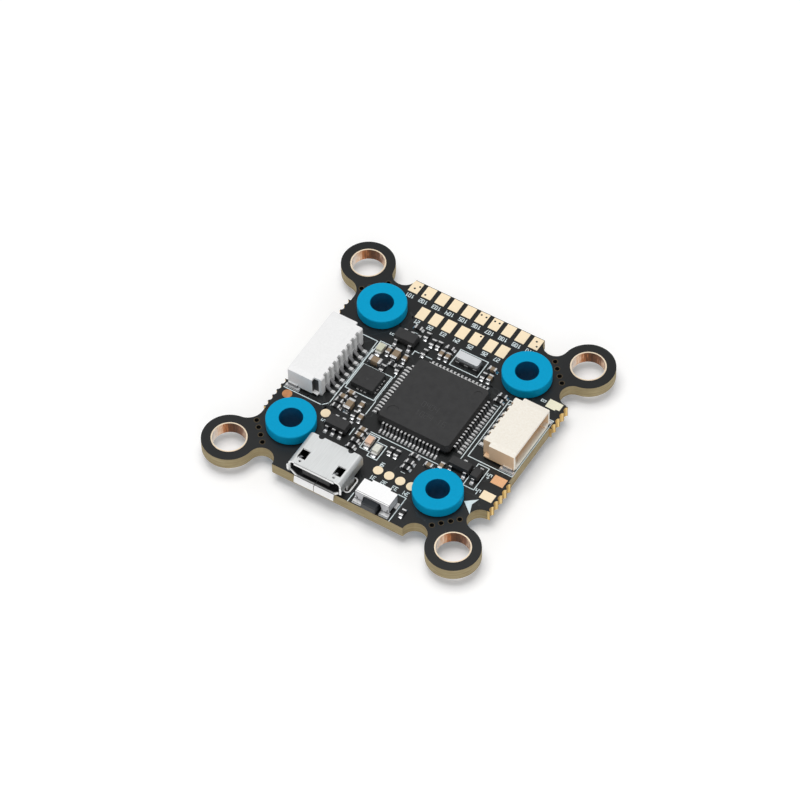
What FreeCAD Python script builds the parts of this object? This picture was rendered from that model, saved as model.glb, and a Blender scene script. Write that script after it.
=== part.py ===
import FreeCAD, Part
import os

# Flight controller board. Millimetres. X to the right, Y away from the USB socket, Z up.
# The origin is the centre of the 30.5 mm mounting pattern, on the board's underside.

# ---------------------------------------------------------------- board
BOARD_T = 1.6
EDGE = 15.95               # front, back and right edges, from the origin
LEFT_EDGE = 14.0           # the left edge is set back for the eight-pin connector
CORNER_PITCH = 30.5
CORNER = CORNER_PITCH / 2
TAB_R = 3.3                # round snap-off corner tabs
CORNER_HOLE_R = 2.0
CORNER_RIM = 0.16           # copper ring around the hole
BARREL_T = 0.05            # plating inside a hole
RIM_T = 0.04               # copper and plating above the laminate
BAY_R = 1.55               # round bays beside each corner tab
LEFT_BAY_R = 1.95
SNAP_HOLE_R = 0.28
SNAP_HOLES = [(13.85, 11.5), (13.1, 12.25), (12.3, 13.05), (11.55, 13.85)]
SCALLOP_PITCH = 0.94       # plated scallops along the left and right edges
SCALLOP_R = 0.42
EDGE_STRIP_T = 0.3         # how far the teeth between scallops stand out
EDGE_STRIP_WALL = 0.05
EDGE_STRIPS = [(1, EDGE, -8.85, 5), (1, EDGE, 5.05, 4), (-1, LEFT_EDGE, -9.3, 5), (-1, LEFT_EDGE, 4.6, 5)]

# ---------------------------------------------------------------- grommets
GROMMET_PITCH = 20.0
GROMMET = GROMMET_PITCH / 2
GROMMET_HOLE_R = 2.0
GROMMET_NECK_R = 1.95
GROMMET_FLANGE_R = 3.0
GROMMET_BORE_R = 1.4
GROMMET_STAND = 1.5        # flange top above the board, and below it
GROMMET_GAP = 0.12         # room for the flange to move along its screw
GROMMET_ROUND = 0.15

# ---------------------------------------------------------------- solder pads
PAD_T = 0.04
EDGE_PAD_PITCH = 1.845
EDGE_PAD_COUNT = 10
EDGE_PAD_W = 1.27
EDGE_PAD_FIRST_X = -8.36
EDGE_PAD_Y = (14.12, 15.86)
INNER_PAD_W = 1.23
INNER_PAD_Y = (11.05, 12.83)
INNER_PAD_X = [-5.55, -3.72, -1.88, -0.02, 1.83, 3.83, 5.5]
RIGHT_PADS = [(13.9, 15.7, 7.55, 8.8), (14.1, 15.75, -5.2, -3.95), (14.1, 15.75, -7.7, -6.5)]
RIGHT_PAD_NOTCH = (15.2, 7.77)   # the first of them is cut away beyond this point
ROUND_PADS = [(2.15, -10.4), (3.65, -10.4), (5.15, -10.4), (6.65, -10.4), (-7.5, -6.5), (-12.9, -6.4)]
ROUND_PAD_R = 0.6

# ---------------------------------------------------------------- processor and motion sensor
MCU_AT = (3.1, 0.4)
MCU_W = 10.0
MCU_TOP_W = 9.56
MCU_LOW_Z = 0.1
MCU_MID_Z = 0.75
MCU_TOP_Z = 1.5
MCU_CORNER = 0.35
MCU_LEADS_PER_SIDE = 16
MCU_LEAD_PITCH = 0.5
MCU_LEAD_W = 0.22
MCU_LEAD_T = 0.14
MCU_TIP = 6.0              # lead tip from the package centre
MCU_FOOT = 0.5
MCU_MARKS = [(-3.47, -3.47, 0.75), (3.83, 3.63, 0.5)]
MARK_DEPTH = 0.06
IMU_AT = (-5.7, 0.0)
IMU_W = 3.0
IMU_TOP_Z = 0.8
IMU_PITCH = 0.5
IMU_PAD_W = 0.28
IMU_PAD = (1.2, 1.64)      # inner and outer ends, from the package centre
IMU_ROUND = 0.06
IMU_MARK = (-1.0, -1.0, 0.2)
IMU_SIDES = [(5, 0), (3, 90), (5, 180), (3, 270)]   # pads on each side

# ---------------------------------------------------------------- wire-to-board connectors
PIN_PITCH = 1.0
SOCKET_MARGIN = 3.1        # housing width beyond the outer pins
SOCKET_H = 2.9
SOCKET_SHELL = 3.4         # depth of the full-width shell, from the mouth
SOCKET_DEPTH = 4.4         # depth with the comb behind the shell
SOCKET_END_RUN = 0.75      # the top face slopes down towards each end
SOCKET_END_FALL = 0.12
SOCKET_ROUND = 0.1
SOCKET_COMB_IN = 0.5       # the comb is narrower than the shell by this much at each end
SOCKET_COMB_H = 2.88
SOCKET_COMB_BEVEL = 0.15
SOCKET_SHELF_Z = 0.5       # low shelves beside the comb
SOCKET_SHELF_BACK = 4.1
SOCKET_SLOT_W = 0.52
SOCKET_SLOT_L = 0.85
SOCKET_SLOT_TOP = 2.45
SOCKET_NOTCH_L = 0.28       # the slots only notch the edge of the roof
SOCKET_WALL = 0.35
SOCKET_FLOOR = 0.7
SOCKET_CAVITY = 2.9
SOCKET_KEY = (1.6, 0.25)   # depth from the mouth, and depth below the cavity's floor
SOCKET_KEY_IN = 0.7
SOCKET_STEP = (0.45, 0.3)   # both ends stand clear of the board: reach inwards, and height
SOCKET_PIN_W = 0.42
SOCKET_PIN_T = 0.2
SOCKET_PIN_Z = 0.8
SOCKET_PIN_SLANT = 0.13
SOCKET_KNEE = 4.25
SOCKET_TOE = 5.5
SOCKET_FOOT = 0.6
SOCKET_BLADE_X = 0.9
SOCKET_TAB = (-0.12, 1.7)  # from the mouth
SOCKET_TAB_RISER = (0.15, 1.4)
SOCKET_TAB_OUT = 0.42
SOCKET_TAB_T = 0.18
SOCKET_TAB_H = 0.6
EIGHT_PIN_AT = (-13.65, 0.0)
SIX_PIN_AT = (15.75, 1.45)

# ---------------------------------------------------------------- micro USB socket
USB_X = -2.95
USB_BACK_Y = -11.15
USB_FLARE_Y = -15.95
USB_FRONT_Y = -16.15
USB_HALF = 3.575
USB_H = 2.5
USB_ROUND = 0.55
USB_SKIN = 0.25
USB_CHAMFER = (0.85, 0.95)   # sideways and upwards, at the lower corners
USB_FLARE = 0.15
USB_TOP_FLARE = 0.12
USB_LIP_HALF = 2.7           # half width of the lower lip, which hooks over the board's edge
USB_LIP = [
    (-15.9, 0.25), (-15.9, 0.0), (-16.06, 0.0), (-16.2, -0.74), (-16.4, -0.7), (-16.26, 0.1), (-16.15, 0.25),
]
USB_LIP_GAP_Z = (0.7, 0.8)   # the flare is cut away at the corners, this far from the roof and the floor
USB_LEG_Y = -13.83
USB_LEG_W = 1.5
USB_LEG_Z = (-1.9, 1.4)
USB_SLOT_X = 3.5
USB_SLOT = (0.62, 2.1)
USB_SLOT_RIM = 0.18
USB_WINDOW = (1.05, 1.4)
USB_WINDOW_AT = (2.42, -14.35)
USB_DIMPLE_R = 0.17
USB_DIMPLE_AT = (2.3, -15.42)
USB_NOTCH_R = 0.38
USB_NOTCH_X = 2.0
USB_SEAM = (0.08, 2.0)
USB_TAIL_SLOT = (3.2, 1.1)   # opening in the shell's floor for the contact tails
USB_CONTACTS = 5
USB_CONTACT_PITCH = 0.65
USB_CONTACT_W = 0.3
USB_CONTACT_T = 0.15
USB_CONTACT_FRONT = -4.4     # from the shell's back
USB_CONTACT_DROP = (-0.9, -0.75)
USB_CONTACT_TOE = 0.55
USB_PLUG = (0.05, 1.6)       # the moulded block's back and front, in from the shell's back
USB_TONGUE = (3.8, 3.2, 0.75)
USB_TONGUE_Z = 0.8
USB_TONGUE_BACK = 1.4
USB_TONGUE_ROUND = 0.15

# ---------------------------------------------------------------- boot switch
SWITCH_X = 4.32
SWITCH_HALF = 2.25
SWITCH_H = 1.6
SWITCH_SKIN = 0.14
SWITCH_FLAP = (1.05, 1.35, 1.85)   # inner edge at the top, then both edges at the bottom
SWITCH_FLAP_Z = 0.3
SWITCH_FOOT = (1.2, 2.4)           # inner and outer edges of the front feet
SWITCH_FOOT_T = 0.16
SWITCH_FOOT_OUT = 0.5
SWITCH_LIP = 0.36                  # the roof folds down this far at the front
SWITCH_FOLD = (0.04, 0.03)         # width and depth of the fold lines
SWITCH_FOLD_IN = 0.16
SWITCH_FOLD_DOWN = 0.1
SWITCH_WALL_Z = 0.35
SWITCH_TAB = (1.25, 0.3)           # half width and length of the roof's rear tab
SWITCH_EAR_OUT = 0.35
SWITCH_EAR_Y = (0.95, 0.15)        # rear feet, in from the back
SWITCH_BACK_Y = -13.13
SWITCH_FRONT_Y = -15.18
BUTTON_W = 1.9
BUTTON_H = 1.0
BUTTON_Z = 0.2
BUTTON_TIP_Y = -16.1
BUTTON_TRAVEL = 0.2
BUTTON_PLAY = 0.06
BUTTON_FLANGE = (2.4, 0.25)  # width and thickness, inside the base
BUTTON_FLANGE_Y = -14.1
BUTTON_ROUND = 0.12
DOME_HALF = 1.1
DOME_T = 0.05
DOME_RISE = 0.34             # how far its ends stand behind its middle
DOME_MARGIN = 0.1
CHAMBER_ROOM = 0.2           # behind the flange at the end of its travel

# ---------------------------------------------------------------- small packages
RESONATOR_AT = (3.05, 8.3)
RESONATOR = (3.2, 1.3, 0.55)
RESONATOR_LID = (2.95, 1.08, 0.55)
RESONATOR_TERMINALS = (-1.2, 0.0, 1.2)
RESONATOR_TERMINAL = (0.5, 0.06, 0.42)
SOT_BODY = (2.9, 1.6, 1.1)
SOT_TIP = 1.4
SOT_PITCH = 0.95
FIVE_LEAD_AT = (-5.05, 7.5)
SIX_LEAD_AT = (-5.17, -7.5)
SOT3_AT = (10.15, -5.2)
SOT3_BODY = (2.9, 1.3, 1.0)
SOT3_TIP = 1.2
DIODE_AT = (12.35, -5.3)
DIODE_BODY = (1.6, 1.15, 0.9)
DIODE_TIP = 1.25
SMALL_LEAD_W = 0.4
SMALL_LEAD_T = 0.13
SMALL_FOOT = 0.35
SMALL_CORNER = 0.06
SMALL_STAND = 0.05
SMALL_ROUND = 0.08
LID_ROUND = 0.15

# ---------------------------------------------------------------- chip parts: length, width, height
SIZE_0402 = (1.0, 0.5, 0.5)
SIZE_0402_FLAT = (1.0, 0.5, 0.36)
SIZE_0603 = (1.6, 0.8, 0.8)
END_CAP = 0.24
END_CAP_0603 = 0.34
CAP_LIP = 0.02
CAP_ROUND = 0.06
CAPACITORS_0603 = [(-4.82, 4.78, 90), (-5.57, -4.32, 90), (-6.42, 2.78, 0)]
CAPACITORS_0402 = [
    (-5.94, 4.98, 90), (-3.69, 4.98, 90), (-0.39, 7.78, 90), (0.46, 7.78, 90), (6.4, 7.58, 90),
    (-4.39, -3.52, 90), (8.2, -6.27, 90), (-3.54, -5.12, 90), (-6.39, -2.57, 0), (-6.94, -3.52, 0),
    (6.0, 8.88, 0), (-2.34, -6.47, 0), (-2.34, -7.32, 0), (6.9, -6.92, 0),
]
RESISTORS = [
    (-2.15, 8.72, 90), (-1.35, 8.82, 90), (-2.25, 6.97, 90), (-3.25, 9.27, 90), (5.55, 7.57, 90),
    (-3.6, 3.32, 90), (-4.45, -5.02, 90), (2.0, -7.32, 90), (2.85, -7.32, 90), (7.85, -14.2, 90),
    (-5.25, 2.47, 90), (0.05, 9.07, 0), (-4.75, 9.74, 0), (-4.5, 3.47, 0), (-7.05, -4.22, 0),
    (-6.95, -5.07, 0), (-2.35, -8.22, 0), (-2.35, -9.17, 0), (4.75, -6.52, 0), (4.75, -7.62, 0),
    (4.75, -8.52, 0), (8.95, 5.32, 0), (9.05, 6.17, 0),
]
LEDS = [(-6.95, 4.8, 90), (-0.8, -7.5, 90), (0.55, -8.1, 90)]
LED_BASE = (1.6, 0.8, 0.3)
LED_LENS = (1.05, 0.8, 0.35)
LED_TERMINAL = 0.27
LED_ROUND = 0.08

# ---------------------------------------------------------------- underside parts
VIDEO_CHIP_AT = (1.0, 5.2)
VIDEO_CHIP = (9.7, 4.4, 1.1)
VIDEO_CHIP_LEADS = 14
VIDEO_CHIP_PITCH = 0.65
VIDEO_CHIP_TIP = 3.2
VIDEO_CHIP_LEAD_W = 0.24
FLASH_AT = (-4.2, -2.2)
FLASH = (6.0, 5.0, 0.75)
FLASH_PITCH = 1.27
FLASH_PADS = 4
FLASH_PAD = (2.5, 3.1, 0.4)   # inner end, outer end and width
INDUCTOR_AT = (5.0, -3.0)
INDUCTOR = (3.0, 3.0, 1.2)
INDUCTOR_ROUND = 0.3
INDUCTOR_END = (0.6, 2.4, 0.1)   # inner edge, width and thickness
BAROMETER_AT = (0.6, -8.6)
BAROMETER = (2.5, 2.0, 0.3)
BAROMETER_LID = (2.2, 1.7, 0.55)
BAROMETER_HOLE = (0.6, 0.4, 0.15)
BAROMETER_HOLE_DEPTH = 0.2
BAROMETER_ROUND = 0.25
CONVERTER_AT = (9.3, -1.6)
UNDER_CAPACITORS_0603 = [(8.6, 1.0, 90), (5.0, -5.9, 0), (7.6, -4.4, 90)]
UNDER_CAPACITORS_0402 = [(-8.2, 1.6, 90), (-8.2, -1.0, 90), (2.2, -1.2, 0), (-5.2, 6.2, 90), (-1.6, -8.6, 90)]
UNDER_RESISTORS = [(-6.2, 6.2, 90), (-7.2, 4.0, 0), (0.5, -5.6, 0), (0.5, -4.6, 0), (9.6, 4.2, 90)]

LEFT, RIGHT = -1, 1
SIGNS = (-1, 1)
QUARTERS = (0, 90, 180, 270)
CLEAR = 1.0                # how far a cutting tool reaches past the solid
TINY = 1e-6
DRAFT = 0.12               # how far a moulded package tapers in
KNEE_SHARE = 0.45          # where a lead bends down, along its reach
BEND_SHARE = 0.55


# ================================================================ helpers
def vec(x, y, z=0.0):
    return FreeCAD.Vector(x, y, z)


def box(x, y, z):
    """A box from three (low, high) spans."""
    size = [high - low for low, high in (x, y, z)]
    return Part.makeBox(*size, vec(x[0], y[0], z[0]))


def span(middle, width):
    return middle - width / 2, middle + width / 2


def outward(middle, side, near, far):
    """The span between two distances from a middle plane, on one side of it."""
    return sorted((middle + side * near, middle + side * far))


def block(width, depth, z, x=0.0, y=0.0):
    """A box centred on x, y."""
    return box(span(x, width), span(y, depth), z)


def rod(r, z, x=0.0, y=0.0):
    return Part.makeCylinder(r, z[1] - z[0], vec(x, y, z[0]))


def oval(width, length, z, x=0.0, y=0.0):
    """A slot shape with round ends, its length along Y."""
    reach = (length - width) / 2
    middle = block(width, 2 * reach, z, x, y)
    ends = [rod(width / 2, z, x, y + sign * reach) for sign in SIGNS]
    return middle.multiFuse(ends).removeSplitter()


def cut(shape, tools):
    return shape.cut(Part.makeCompound(tools))


def joined(first, *others):
    return first.multiFuse(list(others)).removeSplitter()


def placed(shape, at, turn=0.0, z=BOARD_T):
    """A copy turned about Z, standing on the board's top face unless z says otherwise."""
    copy = shape.copy()
    copy.rotate(vec(0, 0), vec(0, 0, 1), turn)
    copy.translate(vec(at[0], at[1], z))
    return copy


def on_board(solids, at, turn=0.0):
    return [placed(solid, at, turn) for solid in solids]


def hung(shape, at, turn=0.0):
    """A copy turned about Z, then hung under the board by a half turn about X."""
    copy = shape.copy()
    copy.rotate(vec(0, 0), vec(0, 0, 1), turn)
    copy.rotate(vec(0, 0), vec(1, 0, 0), 180)
    copy.translate(vec(at[0], at[1]))
    return copy


def under_board(solids, at, turn=0.0):
    return [hung(solid, at, turn) for solid in solids]


def prism(points, width):
    """A profile in X and Z, given width along Y and centred on Y."""
    wire = Part.makePolygon([vec(x, -width / 2, z) for x, z in points + points[:1]])
    return Part.Face(wire).extrude(vec(0, width, 0))


def softened(shape, radius, wanted):
    """The shape with the edges that wanted(edge) picks rounded off."""
    return shape.makeFillet(radius, [edge for edge in shape.Edges if wanted(edge)])


def upright(edge):
    bounds = edge.BoundBox
    return bounds.ZLength > TINY and bounds.XLength < TINY and bounds.YLength < TINY


def cornered_wire(width, depth, corner, z):
    """A rectangle with cut corners, at height z."""
    x, y = width / 2, depth / 2
    corners = [
        (x - corner, -y), (x, -y + corner), (x, y - corner), (x - corner, y),
        (-x + corner, y), (-x, y - corner), (-x, -y + corner), (-x + corner, -y),
    ]
    return Part.makePolygon([vec(a, b, z) for a, b in corners + corners[:1]])


def moulded_body(size, low_z, corner):
    """A moulded package: widest at half height, tapering up and down."""
    width, depth, top_z = size
    middle = (low_z + top_z) / 2
    waist = cornered_wire(width, depth, corner, middle)
    ends = [cornered_wire(width - 2 * DRAFT, depth - 2 * DRAFT, corner, z) for z in (low_z, top_z)]
    halves = [Part.makeLoft([end, waist], True, True) for end in ends]
    return joined(*halves)


def gull_lead(root, tip, foot, lead_z, thickness, width):
    """A bent lead running outwards along +X from a package side to its foot on the board."""
    ankle = tip - foot
    knee = root + (ankle - root) * KNEE_SHARE
    slant = thickness * BEND_SHARE
    return prism(
        [
            (root, lead_z), (root, lead_z + thickness), (knee + slant, lead_z + thickness),
            (ankle + slant, thickness), (tip, thickness), (tip, 0.0), (ankle, 0.0), (knee, lead_z),
        ],
        width,
    )


def lead_row(lead, count, pitch, turn=0.0):
    """Copies of a lead spread across its own direction, then turned about Z."""
    row = []
    for n in range(count):
        moved = lead.copy()
        moved.translate(vec(0, (n - (count - 1) / 2) * pitch))
        moved.rotate(vec(0, 0), vec(0, 0, 1), turn)
        row.append(moved)
    return row


def save(name, solids):
    Part.makeCompound(solids).exportStep(os.path.join("parts", name + ".step"))


# ================================================================ board, plating and pads
def towards(start, end, distance):
    return start + (end - start).normalize() * distance


def round_side(centre, radius, start, end, inner):
    """The arc from start to end, on the side of the circle that inner points to."""
    return Part.Arc(start, towards(centre, inner, radius), end).toShape()


def corner_edges(sx, sy):
    """The bay, tab and bay around one corner, from the X-running edge to the Y-running edge."""
    tab = vec(sx * CORNER, sy * CORNER)
    away = vec(sx * 2 * CORNER, sy * 2 * CORNER)
    reach = BAY_R + TAB_R
    step = (reach ** 2 - (EDGE - CORNER) ** 2) ** 0.5
    near_x = vec(sx * (CORNER - step), sy * EDGE)
    side_r, side_x = (BAY_R, EDGE) if sx == RIGHT else (LEFT_BAY_R, LEFT_EDGE + LEFT_BAY_R)
    side_step = ((side_r + TAB_R) ** 2 - (side_x - CORNER) ** 2) ** 0.5
    near_y = vec(sx * side_x, sy * (CORNER - side_step))
    first = near_x - vec(sx * BAY_R, 0)
    if sx == RIGHT:
        last = near_y - vec(0, sy * side_r)
        deep = near_y - vec(1, 0)
    else:
        last = near_y + vec(side_r, 0)
        deep = last + (towards(near_y, tab, side_r) - last) * 0.5
    meet_x = towards(near_x, tab, BAY_R)
    meet_y = towards(near_y, tab, side_r)
    edges = [
        round_side(near_x, BAY_R, first, meet_x, near_x - vec(0, sy)),
        round_side(tab, TAB_R, meet_x, meet_y, away),
        round_side(near_y, side_r, meet_y, last, deep),
    ]
    return edges, first, last


def board_face():
    corners = {(sx, sy): corner_edges(sx, sy) for sx in SIGNS for sy in SIGNS}
    edges = [edge for found, _, _ in corners.values() for edge in found]
    for sy in SIGNS:
        edges.append(Part.makeLine(corners[(LEFT, sy)][1], corners[(RIGHT, sy)][1]))
    for sx in SIGNS:
        edges.append(Part.makeLine(corners[(sx, -1)][2], corners[(sx, 1)][2]))
    return Part.Face(Part.Wire(Part.__sortEdges__(edges)))


def circuit_board():
    through = (-CLEAR, BOARD_T + CLEAR)
    holes = []
    for sx in SIGNS:
        for sy in SIGNS:
            holes.append(rod(CORNER_HOLE_R + BARREL_T, through, sx * CORNER, sy * CORNER))
            holes.append(rod(GROMMET_HOLE_R, through, sx * GROMMET, sy * GROMMET))
            holes += [rod(SNAP_HOLE_R, through, sx * x, sy * y) for x, y in SNAP_HOLES]
    holes += [usb_slot(side, BARREL_T, through) for side in SIGNS]
    return cut(board_face().extrude(vec(0, 0, BOARD_T)), holes)


def usb_slot(side, grow, z):
    """The slot for one leg of the USB shell, larger by grow all round."""
    width, length = USB_SLOT
    return oval(width + 2 * grow, length + 2 * grow, z, USB_X + side * USB_SLOT_X, USB_LEG_Y)


def lined_hole(outline, rim):
    """Plating through the board: a barrel with a rim on each face. outline(grow, z) draws the hole."""
    through = (-RIM_T, BOARD_T + RIM_T)
    rims = [outline(rim, z) for z in ((-RIM_T, 0.0), (BOARD_T, BOARD_T + RIM_T))]
    return joined(outline(BARREL_T, through), *rims).cut(outline(0.0, through))


def hole_plating():
    lined = []
    for sx in SIGNS:
        for sy in SIGNS:

            def corner_hole(grow, z, x=sx * CORNER, y=sy * CORNER):
                return rod(CORNER_HOLE_R + grow, z, x, y)

            lined.append(lined_hole(corner_hole, CORNER_RIM))
    for side in SIGNS:

        def leg_slot(grow, z, side=side):
            return usb_slot(side, grow, z)

        lined.append(lined_hole(leg_slot, USB_SLOT_RIM))
    return lined


def edge_strip(side, edge_x, low_y, scallops):
    """A plated strip on a side edge, with a scallop cut for each plated half hole."""
    high_y = low_y + scallops * SCALLOP_PITCH
    strip = box(outward(0.0, side, edge_x, edge_x + EDGE_STRIP_T), (low_y, high_y), (0.0, BOARD_T))
    centre_x = side * (edge_x + EDGE_STRIP_WALL + SCALLOP_R)
    centres = [low_y + (n + 0.5) * SCALLOP_PITCH for n in range(scallops)]
    return cut(strip, [rod(SCALLOP_R, (-CLEAR, BOARD_T + CLEAR), centre_x, y) for y in centres])


def edge_plating():
    return [edge_strip(*strip) for strip in EDGE_STRIPS]


def solder_pads():
    top = (BOARD_T, BOARD_T + PAD_T)
    under = (-PAD_T, 0.0)
    pads = []
    for n in range(EDGE_PAD_COUNT):
        across = span(EDGE_PAD_FIRST_X + n * EDGE_PAD_PITCH, EDGE_PAD_W)
        pads += [box(across, EDGE_PAD_Y, z) for z in (top, under)]
    pads += [box(span(x, INNER_PAD_W), INNER_PAD_Y, top) for x in INNER_PAD_X]
    right = [box((x0, x1), (y0, y1), top) for x0, x1, y0, y1 in RIGHT_PADS]
    notch_x, notch_y = RIGHT_PAD_NOTCH
    right[0] = cut(right[0], [box((notch_x, notch_x + CLEAR), (notch_y - CLEAR, notch_y), top)])
    pads += right + [rod(ROUND_PAD_R, top, x, y) for x, y in ROUND_PADS]
    within = board_face().extrude(vec(0, 0, BOARD_T + 2 * PAD_T))
    within.translate(vec(0, 0, -PAD_T))
    return [pad.common(within).Solids[0] for pad in pads]


# ================================================================ grommets
def grommet():
    """A rubber grommet: two flanges, a neck through the board, and a bore for the screw."""
    half = (-GROMMET_STAND, BOARD_T + GROMMET_STAND)
    flanges = [(BOARD_T + GROMMET_GAP, half[1]), (half[0], -GROMMET_GAP)]
    body = joined(rod(GROMMET_NECK_R, half), *[rod(GROMMET_FLANGE_R, z) for z in flanges])
    body = body.cut(rod(GROMMET_BORE_R, half))

    def outer_rim(edge):
        flat = edge.BoundBox.ZLength < TINY
        return flat and any(abs(edge.BoundBox.ZMin - z) < TINY for z in half)

    return softened(body, GROMMET_ROUND, outer_rim)


# ================================================================ processor and motion sensor
def mcu_package():
    low = cornered_wire(MCU_TOP_W, MCU_TOP_W, MCU_CORNER, MCU_LOW_Z)
    waist = cornered_wire(MCU_W, MCU_W, MCU_CORNER, MCU_MID_Z)
    high = cornered_wire(MCU_TOP_W, MCU_TOP_W, MCU_CORNER, MCU_TOP_Z)
    body = joined(Part.makeLoft([low, waist], True, True), Part.makeLoft([waist, high], True, True))
    marks = [rod(r, (MCU_TOP_Z - MARK_DEPTH, MCU_TOP_Z + CLEAR), x, y) for x, y, r in MCU_MARKS]
    return placed(cut(body, marks), MCU_AT)


def mcu_leads():
    lead = gull_lead(MCU_W / 2, MCU_TIP, MCU_FOOT, MCU_MID_Z - MCU_LEAD_T / 2, MCU_LEAD_T, MCU_LEAD_W)
    leads = []
    for turn in QUARTERS:
        leads += lead_row(lead, MCU_LEADS_PER_SIDE, MCU_LEAD_PITCH, turn)
    return on_board(leads, MCU_AT)


def imu_package():
    body = softened(block(IMU_W, IMU_W, (PAD_T, IMU_TOP_Z)), IMU_ROUND, upright)
    x, y, r = IMU_MARK
    return placed(cut(body, [rod(r, (IMU_TOP_Z - MARK_DEPTH, IMU_TOP_Z + CLEAR), x, y)]), IMU_AT)


def imu_pads():
    pad = box(IMU_PAD, span(0.0, IMU_PAD_W), (0.0, PAD_T))
    pads = []
    for count, turn in IMU_SIDES:
        pads += lead_row(pad, count, IMU_PITCH, turn)
    return on_board(pads, IMU_AT)


# ================================================================ wire-to-board connectors
# Drawn with the mouth at x = 0 facing -X, centred on Y, standing on z = 0.
def pin_offsets(pins):
    return [(n - (pins - 1) / 2) * PIN_PITCH for n in range(pins)]


def socket_width(pins):
    return (pins - 1) * PIN_PITCH + SOCKET_MARGIN


def socket_shell(half):
    """The full-width part: a block whose top slopes down towards both ends."""
    side_z = SOCKET_H - SOCKET_END_FALL
    flat = half - SOCKET_END_RUN
    ends = [(-half, 0.0), (half, 0.0), (half, side_z), (flat, SOCKET_H), (-flat, SOCKET_H), (-half, side_z)]
    face = Part.Face(Part.makePolygon([vec(0, y, z) for y, z in ends + ends[:1]]))
    return softened(face.extrude(vec(SOCKET_SHELL, 0)), SOCKET_ROUND, upright)


def socket_housing(pins):
    """A shell open at the mouth, with a comb behind it that holds the contacts."""
    half = socket_width(pins) / 2
    comb_half = half - SOCKET_COMB_IN
    front = SOCKET_SHELL - SOCKET_ROUND
    shelf = box((front, SOCKET_SHELF_BACK), (-half, half), (0.0, SOCKET_SHELF_Z))
    bevel_x, bevel_z = SOCKET_DEPTH - SOCKET_COMB_BEVEL, SOCKET_COMB_H - SOCKET_COMB_BEVEL
    profile = [
        (front, 0.0), (front, SOCKET_COMB_H), (bevel_x, SOCKET_COMB_H),
        (SOCKET_DEPTH, bevel_z), (SOCKET_DEPTH, 0.0),
    ]
    body = joined(socket_shell(half), shelf, prism(profile, 2 * comb_half))
    inner = half - SOCKET_WALL
    cavity = box((-CLEAR, SOCKET_CAVITY), (-inner, inner), (SOCKET_FLOOR, SOCKET_H - SOCKET_WALL))
    key_depth, key_drop = SOCKET_KEY
    key_half = inner - SOCKET_KEY_IN
    key = box((-CLEAR, key_depth), (-key_half, key_half), (SOCKET_FLOOR - key_drop, SOCKET_FLOOR))
    reach, rise = SOCKET_STEP
    tools = [cavity, key]
    for side in SIGNS:
        end = outward(0.0, side, half - reach, half + CLEAR)
        tools.append(box((-CLEAR, SOCKET_DEPTH), end, (-CLEAR, rise)))
    passage = (SOCKET_PIN_Z, SOCKET_PIN_Z + SOCKET_PIN_T)
    for y in pin_offsets(pins):
        for length, top in ((SOCKET_SLOT_L, SOCKET_SLOT_TOP), (SOCKET_NOTCH_L, SOCKET_H + CLEAR)):
            slot_x = (SOCKET_DEPTH - length, SOCKET_DEPTH + CLEAR)
            tools.append(box(slot_x, span(y, SOCKET_SLOT_W), (-CLEAR, top)))
        tools.append(box((SOCKET_BLADE_X, SOCKET_DEPTH), span(y, SOCKET_PIN_W), passage))
    return cut(body, tools)


def socket_pins(pins):
    """Contacts that run from the cavity through the back wall, then down to the board."""
    low, high = SOCKET_PIN_Z, SOCKET_PIN_Z + SOCKET_PIN_T
    ankle = SOCKET_TOE - SOCKET_FOOT
    profile = [
        (SOCKET_BLADE_X, low), (SOCKET_BLADE_X, high), (SOCKET_KNEE + SOCKET_PIN_SLANT, high),
        (ankle + SOCKET_PIN_SLANT, SOCKET_PIN_T), (SOCKET_TOE, SOCKET_PIN_T), (SOCKET_TOE, 0.0),
        (ankle, 0.0), (SOCKET_KNEE, low),
    ]
    return lead_row(prism(profile, SOCKET_PIN_W), pins, PIN_PITCH)


def socket_tabs(pins):
    """A hold-down tab beside each end of the housing."""
    edge = socket_width(pins) / 2
    tabs = []
    for side in SIGNS:
        foot = box(SOCKET_TAB, outward(0.0, side, edge, edge + SOCKET_TAB_OUT), (0.0, SOCKET_TAB_T))
        riser = box(SOCKET_TAB_RISER, outward(0.0, side, edge, edge + SOCKET_TAB_T), (0.0, SOCKET_TAB_H))
        tabs.append(joined(foot, riser))
    return tabs


# ================================================================ micro USB socket
def usb_wire(y, grow, top_rise=0.0):
    """The shell's cross-section at y: round top corners, slanted lower corners."""
    inset = min(grow, 0.0)
    half, low, high = USB_HALF + grow, -inset, USB_H + inset + top_rise
    corner = USB_ROUND + grow
    side, rise = USB_CHAMFER
    bend = corner * (1 - 0.5 ** 0.5)

    def at(x, z):
        return vec(USB_X + x, y, BOARD_T + z)

    outline = [Part.makeLine(at(side - half, low), at(half - side, low))]
    for sign in SIGNS:
        outline.append(Part.makeLine(at(sign * (half - side), low), at(sign * half, rise)))
        outline.append(Part.makeLine(at(sign * half, rise), at(sign * half, high - corner)))
        start = at(sign * half, high - corner)
        middle = at(sign * (half - bend), high - bend)
        outline.append(Part.Arc(start, middle, at(sign * (half - corner), high)).toShape())
    outline.append(Part.makeLine(at(corner - half, high), at(half - corner, high)))
    return Part.Wire(Part.__sortEdges__(outline))


def usb_tube(grow):
    """A solid of the shell's section, flared at the mouth and growing by grow all round."""
    straight = Part.makeLoft([usb_wire(USB_BACK_Y, grow), usb_wire(USB_FLARE_Y, grow)], True, True)
    mouth = usb_wire(USB_FRONT_Y, grow + USB_FLARE, USB_TOP_FLARE + min(grow, 0.0))
    flare = Part.makeLoft([usb_wire(USB_FLARE_Y, grow), mouth], True, True)
    return straight.fuse(flare)


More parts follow.
